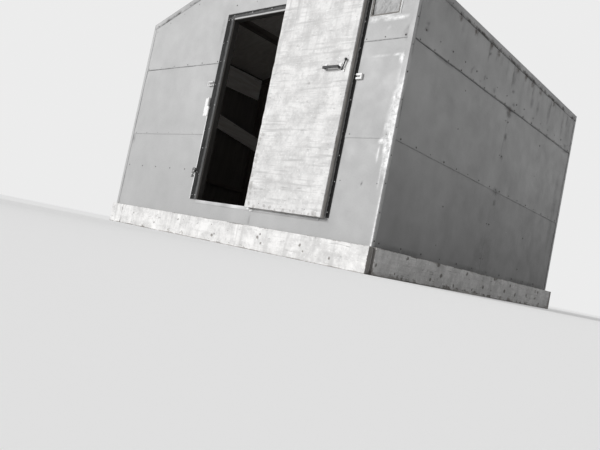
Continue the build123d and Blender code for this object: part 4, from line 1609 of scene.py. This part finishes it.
@dataclass
class Roof:
    """Roof sheets, edge strips, corner strips and the ridge cap."""

    plan: HutPlan
    palette: Palette
    sheet_overlap: float = 0.03
    sheet_cell: float = 0.024
    eave_overhang: float = 1.5 * MM
    rake_leg: float = 0.03
    rake_top: float = 0.004
    corner_leg: float = 0.026
    glare: Range = (0.4, 0.84)
    dull_highlight: float = 0.12

    def slope_sheets(self, side: int) -> SheetWall:
        """Sheets of one slope, lapped towards the eave, seen as a wall that lies back.

        Args:
            side: -1 for the left slope, 1 for the right slope.

        Returns:
            The slope.
        """
        plan = self.plan
        length = plan.half_width / math.cos(plan.pitch) - 2.0 * MM
        step = length / 2
        front, rear = plan.front + MM, plan.rear - MM
        middle = (front + rear) / 2
        sheets = [Sheet(run, (row * step,) * 2, (min(length, row * step + step + self.sheet_overlap),) * 2, row > 0,
                        90 + side * 10 + row * 3 + column, self.sheet_cell)
                  for row in range(2) for column, run in enumerate(((front, middle + 0.015), (middle, rear)))]
        return SheetWall(
            "roof_sheets_right" if side > 0 else "roof_sheets_left", "roofing", "roof_sheet",
            Vector((side * plan.half_width, 0.0, plan.roof_edge)), rearward(1.0), plan.up_slope(side),
            plan.slope_normal(side), sheets, (plan.front, plan.rear), thin_top=length - 0.1,
            dents=[Dent(front + 0.4 + 0.5 * n, 0.3 + 0.2 * (n % 4), 0.12, 0.8 * MM) for n in range(4)],
            grime=[Stain(front + 0.2 + 0.31 * n, 0.1 + 0.17 * (n % 6), 0.03, 0.12, 0.4) for n in range(7)])

    def eave_strips(self) -> list[BentStrip]:
        """Bent strips over both eave edges.

        Returns:
            The strips.
        """
        plan = self.plan
        leg = plan.roof_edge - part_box("eave_strips")[0].z
        edges = ((side, Vector((side * plan.half_width, 0.0, plan.roof_edge))) for side in SIDES)
        return [BentStrip(
            edge + rearward(plan.front - self.eave_overhang), edge + rearward(plan.rear + self.eave_overhang),
            (plan.up_slope(side), -UP), (leg, leg), (plan.slope_normal(side), sideways(side)), 5 + side,
            rust=(0.12, 0.425, 0.62, 0.83, 0.94, 1.12, 1.244, 1.27, 1.39, 1.51, 1.67, 1.74, 1.94, 2.12, 2.35),
            creep=0.9, waver=2.6 * MM, lift=(0.9 * MM, 1.4 * MM)) for side, edge in edges]

    def rake_strips(self) -> list[BentStrip]:
        """Bent strips up the sloping edges of both gables.

        Returns:
            The strips.
        """
        plan = self.plan
        drop = (plan.roof_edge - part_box("rake_strips")[0].z) * math.cos(plan.pitch)
        top = self.rake_top
        return [BentStrip(
            Vector((side * (plan.half_width - 1.0 * MM), face, plan.roof_edge)),
            Vector((side * top, face, plan.roof_under(top) + plan.roof_lift)),
            (rearward(-way), -plan.slope_normal(side)), (self.rake_leg, drop), (plan.slope_normal(side), rearward(way)),
            20 + side * 3 + int(way), proud=(0.9 * MM, 2.3 * MM), rust=(0.16, 0.3, 0.61, 0.9, 1.12),
            lift=(0.0, 1.4 * MM)) for side, face, way in plan.corners]

    def ridge_cap(self) -> list[BentStrip]:
        """Bent cap over the ridge.

        Returns:
            The cap.
        """
        plan = self.plan
        low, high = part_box("ridge_cap")
        reach = (high.x - low.x) / 2 / math.cos(plan.pitch)
        return [BentStrip(
            Vector((0.0, plan.front, plan.roof_top)), Vector((0.0, plan.rear, plan.roof_top)),
            tuple(-plan.up_slope(side) for side in SIDES), (reach, reach),
            tuple(plan.slope_normal(side) * 0.5 for side in SIDES), 33, proud=(2.4 * MM, 4.6 * MM),
            lift=(1.5 * MM, 1.5 * MM), waver=2.0 * MM, cell=0.02, bend_share=0.33)]

    def corner_strips(self) -> list[BentStrip]:
        """Bent strips up the four outside corners, each with a painted highlight on its bend, the one at the front
        right brightest, with a painted patch of glare.

        Returns:
            The strips.
        """
        plan = self.plan
        low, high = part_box("corner_strips")
        strips = []
        for side, face, way in plan.corners:
            bright = side > 0 and way < 0
            strips.append(BentStrip(
                Vector((side * plan.half_width, face, low.z + 1.0 * MM)),
                Vector((side * plan.half_width, face, high.z)),
                (sideways(-side), rearward(-way)), (self.corner_leg,) * 2, (rearward(way), sideways(side)),
                40 + side * 2 + int(way), proud=(1.3 * MM, 3.1 * MM), waver=2.4 * MM, lift=(1.6 * MM, 1.6 * MM),
                shine=1.0 if bright else self.dull_highlight, glare=self.glare if bright else NOWHERE))
        return strips

    def build(self) -> None:
        """Build the roof's metal."""
        for side in SIDES:
            self.slope_sheets(side).build(self.palette)
        for node, strips, material, slot in (
                ("eave_strips", self.eave_strips(), "edge_sheet", "edge_metal"),
                ("rake_strips", self.rake_strips(), "edge_sheet", "edge_metal"),
                ("ridge_cap", self.ridge_cap(), "edge_sheet", "roofing"),
                ("corner_strips", self.corner_strips(), "cladding_paint", "edge_metal")):
            self.palette.piece(node + "_bent", (strip.mesh() for strip in strips), material, slot, (node,))


@dataclass
class Woodwork:
    """Worn boards and strips in place of plain solids, and the small bits round the doorway."""

    plan: HutPlan
    palette: Palette
    sliver_width: float = 0.008
    sliver_top: float = 0.825
    pad_rim: float = 0.0005
    pad_width: float = 0.0205
    latch_pad: float = 0.0225

    def build(self) -> None:
        """Build every board, trim strip and bit."""
        skirt = {"bevel": 2.5 * MM, "chip": 2.6 * MM, "warp": 1.2 * MM}
        trim = {"bevel": 1.2 * MM, "chip": 0.9 * MM, "warp": 0.4 * MM, "cell": 0.02}
        for item in (
                WornBoards("skirt_end_boards", ("skirt_front", "skirt_rear"), "skirt_boards", "skirt_paint_x",
                           seed=5, **skirt),
                WornBoards("skirt_side_boards", ("skirt_left", "skirt_right"), "skirt_boards", "skirt_paint_y",
                           seed=9, shallow_axis=0, **skirt),
                # The header and sill take the near-black jamb wood, painted shade of the doorway.
                WornBoards("doorway_header_and_sill_worn", ("doorway_header_and_sill",), "timber", "jamb_wood",
                           seed=13),
                WornBoards("centre_post_worn", ("centre_post",), "timber", "timber_z", seed=15),
                WornBoards("wall_board_worn", ("left_wall_board",), "plywood", "pale_board", seed=17,
                           shallow_axis=0),
                WornBoards("door_trim_strips", ("door_trim_left", "door_trim_head"), "trim_strip", "trim_rubber",
                           seed=21, **trim),
                # Right trim in the pale finish, which is painted light against the leaf's shadow.
                WornBoards("door_trim_right_scuffed", ("door_trim_right",), "trim_strip", "trim_rubber_scuffed",
                           seed=22, **trim),
                WornBoards("door_sill_metal", ("door_sill_strip",), "sill_metal", "sill_sheet", cell=0.016,
                           bevel=1.0 * MM, chip=1.4 * MM, warp=0.6 * MM, seed=25),
                WornBoards("door_panel_worn", ("door_panel",), "door_ply", "leaf_paint", Body.DOOR,
                           bevel=1.5 * MM, chip=2.0 * MM, seed=27),
                WornBoards("door_battens_worn", ("door_stiles", "door_rails"), "timber", "batten_wood", Body.DOOR,
                           seed=31),
                *self.slivers(), self.handle_pads()):
            item.build(self.palette)

    def slivers(self) -> tuple[WornBoards, WornBoards]:
        """Bright sheet edge beside the left trim, and the bits of metal left under the leaf's lower corner.

        Returns:
            The sliver and the bits.
        """
        plan = self.plan
        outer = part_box("door_trim_left")[0].x
        edge = ((outer - self.sliver_width, plan.front - 4.5 * MM, plan.sill + 0.004),
                (outer - 0.5 * MM, plan.front - 0.5 * MM, self.sliver_top))
        bits = [((left, plan.front - 6.0 * MM, low), (right, plan.front - 1.0 * MM, high))
                for left, low, right, high in ((0.262, 0.236, 0.280, 0.249), (0.292, 0.228, 0.313, 0.243))]
        return (WornBoards("trim_edge_sliver", (), "edge_metal", "bare_edge", seed=41, bevel=0.8 * MM,
                           chip=1.6 * MM, extra=[edge]),
                WornBoards("sill_corner_bits", (), "painted_hardware", "white_fitting", seed=43, bevel=1.2 * MM,
                           chip=1.5 * MM, cell=0.008, extra=bits))

    def handle_pads(self) -> WornBoards:
        """White foot plates of the pull handle, laid over its dark feet, and one on the latch.

        Returns:
            The pads.
        """
        low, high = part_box("door_handle")
        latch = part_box("door_latch")[0]
        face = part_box("door_panel")[0].y
        rim, width, square, back = self.pad_rim, self.pad_width, self.latch_pad, face - 0.2 * MM
        boxes = [((left, face - 4.2 * MM, low.z - rim), (left + width, back, high.z + rim))
                 for left in (low.x - rim, high.x + rim - width)]
        boxes.append(((latch.x - rim, face - 3.6 * MM, latch.z - rim), (latch.x + square, back, latch.z + square)))
        return WornBoards("handle_foot_pads", (), "painted_hardware", "white_fitting", Body.DOOR, bevel=0.8 * MM,
                          chip=0.6 * MM, cell=0.008, seed=47, extra=boxes)


@dataclass
class Window:
    """Crinkled film and the torn metal rim round the hole."""

    plan: HutPlan
    palette: Palette
    fold_depth: float = 7.0 * MM
    film_half: float = 0.2 * MM
    film_cell: float = 0.003
    rim_widths: tuple[float, ...] = (0.011, 0.009, 0.006, 0.003)
    rim_cell: float = 0.006
    torn_edges: int = 2

    def film(self) -> Plate:
        """Film with folds that run to the upper right.

        Returns:
            Its plate.
        """
        low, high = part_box("window_film")
        middle = (low.y + high.y) / 2

        def crinkle(x: float, z: float) -> float:
            """Outward move of the film, which fades at its edges."""
            fold = abs(ripple((x - z) * 18.0, (x + z) * 5.0, 3.0)) + 0.45 * abs(ripple(x * 48.0, z * 34.0, 8.0))
            return (0.5 - fold) * self.fold_depth * ease(min(x - low.x, high.x - x, z - low.z, high.z - z), 0.0, 0.02)

        return Plate(
            lines_between(low.x, high.x, self.film_cell), lines_between(low.z, high.z, self.film_cell),
            lambda x, z: Vector((x, middle - self.film_half - crinkle(x, z), z)),
            lambda x, z: Vector((x, middle + self.film_half - crinkle(x, z), z)))

    def rim(self) -> Iterable[BentStrip]:
        """Ragged metal edge folded out round the hole.

        Returns:
            A strip for each edge of the hole.
        """
        low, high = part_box("window_beads")
        face = self.plan.front
        corners = [Vector((x, face, z)) for x, z in (
            (low.x, low.z), (high.x, low.z), (high.x, high.z), (low.x, high.z))]
        centre = Vector(((low.x + high.x) / 2, face, (low.z + high.z) / 2))
        for number, (first, last) in enumerate(zip(corners, corners[1:] + corners[:1])):
            outside = (last - first).normalized().cross(rearward(-1.0))
            if outside.dot(first - centre) < 0:
                outside = -outside
            torn = number < self.torn_edges
            yield BentStrip(
                first, last, (rearward(1.0), outside), (0.004, self.rim_widths[number]),
                (-outside, rearward(-1.0)), 60 + number, proud=(0.2 * MM, 1.4 * MM),
                waver=(3.5 if torn else 1.0) * MM, lift=(0.0, (4.0 if torn else 1.0) * MM), cell=self.rim_cell)

    def build(self) -> None:
        """Build the window."""
        self.palette.piece("window_film_crinkled", [self.film().mesh()], "clear_film", "window_film", ("window_film",))
        self.palette.piece("window_rim", (strip.mesh() for strip in self.rim()), "bare_edge", "edge_metal")


@dataclass
class Fasteners:
    """Every nail head of the hut."""

    plan: HutPlan
    palette: Palette
    on_sheet: float = 2.3 * MM
    on_lap: float = 1.5 * MM
    on_strip: float = 3.1 * MM
    on_rake: float = 2.9 * MM
    on_trim: float = 6.0 * MM
    in_skirt: float = 1.6 * MM
    in_leaf: float = 0.2 * MM

    def front_rows(self) -> Rows:
        """Nails of the front sheets.

        Returns:
            The rows.
        """
        plan = self.plan
        y, out = plan.front - self.on_sheet, rearward(-1.0)
        lap = y - self.on_lap
        left, right = -plan.half_width + 0.04, plan.half_width - 0.04
        for height, spacing in ((0.451, 0.178), (0.706, 0.15)):
            yield (-1.159, y, height), (-0.448, y, height), out, spacing
            yield (0.94, y, height + 0.01), (right, y, height + 0.01), out, 0.19
        yield (left, lap, 1.212), (plan.door_left - 0.085, lap, 1.212), out, 0.16
        yield (0.93, lap, 1.243), (right, lap, 1.243), out, 0.13
        yield (-0.25, y, 1.6), (0.75, y, 1.6), out, 0.2
        for side in SIDES:
            x = side * (plan.half_width - 0.05)
            yield (x, y, plan.roof_under(x) - 0.06), (side * 0.05, y, plan.ridge - 0.075), out, 0.17

    def side_rows(self) -> Rows:
        """Nails of the side and rear sheets.

        Returns:
            The rows.
        """
        plan = self.plan
        front, rear = plan.front, plan.rear
        for side in SIDES:
            x, out = side * (plan.half_width + self.on_sheet), sideways(side)
            lap = x + side * self.on_lap
            for low, rise in ((0.712, -0.014), (1.243, 0.03)):
                yield (lap, front + 0.07, low), (lap, rear - 0.07, low + rise), out, 0.155
            yield (x, front + 0.06, 0.165), (x, rear - 0.06, 0.165), out, 0.22
            yield (x, front + 0.112, 1.312), (x, rear - 0.09, 1.312), out, 0.149, 0.012
            for depth in (0.62, 1.205, 1.24, 1.82):
                yield (x, front + depth, 0.24), (x, front + depth, 1.16), out, 0.23
        y, out = rear + self.on_sheet, rearward(1.0)
        for height in (0.165, 0.712, 1.243):
            yield (-1.16, y + 1.0 * MM, height), (1.16, y + 1.0 * MM, height), out, 0.16
        for x in (-0.6, -0.2, 0.2, 0.6):
            yield (x, y, 0.25), (x, y, 1.5), out, 0.24

    def strip_rows(self) -> Rows:
        """Nails through the bent strips.

        Returns:
            The rows.
        """
        plan = self.plan
        lift = plan.roof_lift * 0.5 - 0.022
        for side in SIDES:
            x, z, out = side * (plan.half_width + self.on_strip), plan.eave - 0.006, sideways(side)
            yield (x, plan.front + 0.05, z), (x, plan.rear - 0.05, z), out, 0.13
            for face, way in plan.ends:
                inner, y = face - way * 0.014, face + way * self.on_rake
                yield (x, inner, 0.17), (x, inner, 1.49), out, 0.15
                yield ((side * 1.17, y, plan.roof_under(1.17) + lift),
                       (side * 0.06, y, plan.roof_under(0.06) + lift), rearward(way), 0.2)

    def roof_rows(self) -> Rows:
        """Nails of the roof sheets and the ridge cap.

        Returns:
            The rows.
        """
        plan = self.plan
        for side in SIDES:
            out = plan.slope_normal(side)
            for x, lift in ((1.14, 2.2 * MM), (0.87, 2.0 * MM), (0.585, 4.0 * MM), (0.3, 2.0 * MM), (0.085, 4.0 * MM)):
                foot = Vector((side * x, 0.0, plan.roof_under(x) + plan.roof_lift)) + out * lift
                yield foot + rearward(plan.front + 0.05), foot + rearward(plan.rear - 0.05), out, 0.2

    def trim_rows(self) -> Rows:
        """Pale nail heads in the dark trim of the doorway.

        Returns:
            The rows.
        """
        plan = self.plan
        y, out = plan.front - self.on_trim, rearward(-1.0)
        for x, spacing, jitter in ((plan.door_left - 0.05, 0.16, 0.03), (plan.door_left - 0.018, 0.16, 0.03),
                                   (plan.door_right + 0.052, 0.15, 0.02)):
            yield (x, y, plan.sill + 0.03), (x, y, plan.head), out, spacing, jitter
        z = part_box("door_trim_head")[0].z + 0.014
        yield (plan.door_left, y, z), (plan.door_right, y, z), out, 0.17

    def skirt_rows(self) -> Rows:
        """Dark nails in the skirt boards.

        Returns:
            The rows.
        """
        low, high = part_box("skirt_front")
        rear_low, rear_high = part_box("skirt_rear")
        sunk = self.in_skirt
        spread = (0.3, 0.012)
        for z in (0.035, 0.105):
            yield (low.x + 0.03, low.y + sunk, z), (high.x - 0.03, low.y + sunk, z), rearward(-1.0), *spread
            for side in SIDES:
                box_low, box_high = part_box("skirt_right" if side > 0 else "skirt_left")
                x = box_high.x - sunk if side > 0 else box_low.x + sunk
                yield (x, box_low.y + 0.04, z), (x, box_high.y - 0.04, z), sideways(side), *spread
            yield ((rear_low.x + 0.04, rear_high.y - sunk, z),
                   (rear_high.x - 0.04, rear_high.y - sunk, z), rearward(1.0), *spread)

    def leaf_rows(self) -> Rows:
        """Nails through the leaf's panel into its battens.

        Returns:
            The rows.
        """
        low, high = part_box("door_panel")
        y, out = low.y + self.in_leaf, rearward(-1.0)
        for x in (low.x + 0.03, high.x - 0.03):
            yield (x, y, low.z + 0.03), (x, y, high.z - 0.03), out, 0.2, 0.006
        for z in (low.z + 0.03, (low.z + high.z) / 2, high.z - 0.03):
            yield (low.x + 0.12, y, z), (high.x - 0.12, y, z), out, 0.18, 0.006

    def build(self) -> None:
        """Set all heads."""
        for nails, rows in (
                (NailHeads("front_sheet_nails", "nail_dark", "cladding", radius=3.6 * MM, spread=0.35),
                 self.front_rows()),
                (NailHeads("side_sheet_nails", "nail_dark", "cladding", radius=5.0 * MM, spread=0.35, seed=7),
                 self.side_rows()),
                (NailHeads("strip_nails", "nail_dark", "edge_metal", radius=4.8 * MM, seed=11),
                 self.strip_rows()),
                (NailHeads("roof_nails", "nail_steel", "roofing", radius=4.0 * MM, seed=13),
                 self.roof_rows()),
                (NailHeads("trim_nails", "bright_nail", "trim_strip", radius=2.6 * MM, height=0.8 * MM, seed=17),
                 self.trim_rows()),
                (NailHeads("skirt_nails", "nail_steel", "skirt_boards", radius=4.2 * MM, height=1.2 * MM, seed=19),
                 self.skirt_rows()),
                (NailHeads("leaf_nails", "nail_steel", "door_ply", Body.DOOR, radius=2.4 * MM, height=0.7 * MM,
                           seed=23),
                 self.leaf_rows())):
            for row in rows:
                nails.row(*row)
            nails.build(self.palette)


@dataclass
class Studio:
    """Camera, floor and lamps."""

    plan: HutPlan
    focal: float = 35.774
    eye: Triple = (2.9667, -2.4382, 0.0282)
    right: Triple = (0.72726, 0.65728, 0.19951)
    down: Triple = (0.11423, 0.17096, -0.97867)
    forward: Triple = (-0.67676, 0.73391, 0.04923)
    backdrop: float = 0.84
    ambient: float = 0.32
    floor_tone: float = 0.78
    floor_glow: float = 0.2
    floor_half: float = 60.0
    floor_top: float = -0.0005

    def camera(self) -> None:
        """Camera at the viewing angle of the picture."""
        data = bpy.data.cameras.new("camera")
        data.sensor_width = 36.0
        data.sensor_fit = "HORIZONTAL"
        data.lens = self.focal
        data.clip_start = 0.05
        data.clip_end = 200.0
        camera = in_scene("camera", data)
        axes = Matrix((self.right, [-part for part in self.down], [-part for part in self.forward])).transposed()
        eye = Vector(self.eye) + rearward(self.plan.front)
        camera.matrix_world = Matrix.Translation(eye) @ axes.to_4x4()
        bpy.context.scene.camera = camera

    def lamp(self, name: str, toward: Triple, strength: float, spread: float) -> None:
        """A far lamp.

        Args:
            name: the lamp's name.
            toward: direction from the object to the lamp.
            strength: irradiance square to its rays.
            spread: width of the source in degrees.
        """
        data = bpy.data.lights.new(name, "SUN")
        data.energy = strength
        data.angle = math.radians(spread)
        in_scene(name, data).rotation_euler = Vector(toward).to_track_quat("Z", "Y").to_euler()

    def floor(self) -> None:
        """Plain pale floor that keeps the object's shadow."""
        half = self.floor_half
        mesh = bpy.data.meshes.new("floor")
        corners = ((-half, -half), (half, -half), (half, half), (-half, half))
        mesh.from_pydata([(x, y, self.floor_top) for x, y in corners], [], [(0, 1, 2, 3)])
        g = ShaderGraph("floor_pale")
        matt = g.add("ShaderNodeBsdfDiffuse", color=grey(self.floor_tone)).outputs[0]
        dark = g.add("ShaderNodeEmission", color=grey(0.0), strength=0.0).outputs[0]
        glow = g.add("ShaderNodeEmission", color=grey(1.0), strength=self.floor_glow).outputs[0]
        seen = g.add("ShaderNodeLightPath").outputs["Is Camera Ray"]
        pick = g.step("ShaderNodeMixShader", seen, dark, glow)
        mesh.materials.append(g.finish(g.step("ShaderNodeAddShader", matt, pick)))
        in_scene("floor", mesh)

    def world(self) -> None:
        """Even surroundings: one level for light, another for what the camera sees."""
        world = bpy.data.worlds.new("studio")
        bpy.context.scene.world = world
        world.use_nodes = True
        g = Graph(world.node_tree)
        light = g.add("ShaderNodeBackground", color=grey(1.0), strength=self.ambient).outputs[0]
        seen = g.add("ShaderNodeBackground", color=grey(1.0), strength=self.backdrop).outputs[0]
        path = g.add("ShaderNodeLightPath").outputs
        direct = g.math("MAXIMUM", path["Is Camera Ray"], path["Is Glossy Ray"])
        direct = g.math("MAXIMUM", direct, path["Is Transmission Ray"])
        g.add("ShaderNodeOutputWorld", surface=g.step("ShaderNodeMixShader", direct, light, seen))

    def build(self) -> None:
        """Set up the studio."""
        self.camera()
        self.floor()
        self.world()
        self.lamp("key", (-0.50, -0.80, 0.29), 2.85, 24.0)
        self.lamp("rear_fill", (-0.15, 1.0, 0.45), 0.9, 40.0)
        bpy.context.scene.view_settings.view_transform = "Standard"


def main() -> None:
    """Build the hut's pieces in order."""
    logging.basicConfig(level=logging.INFO, format="%(name)s: %(message)s")
    plan = HutPlan.from_frame()
    palette = Palette(plan)
    palette.dress_nodes()
    Studio(plan).build()
    Cladding(plan, palette).build()
    Roof(plan, palette).build()
    Woodwork(plan, palette).build()
    Window(plan, palette).build()
    Fasteners(plan, palette).build()


if __name__ == "__main__":
    main()
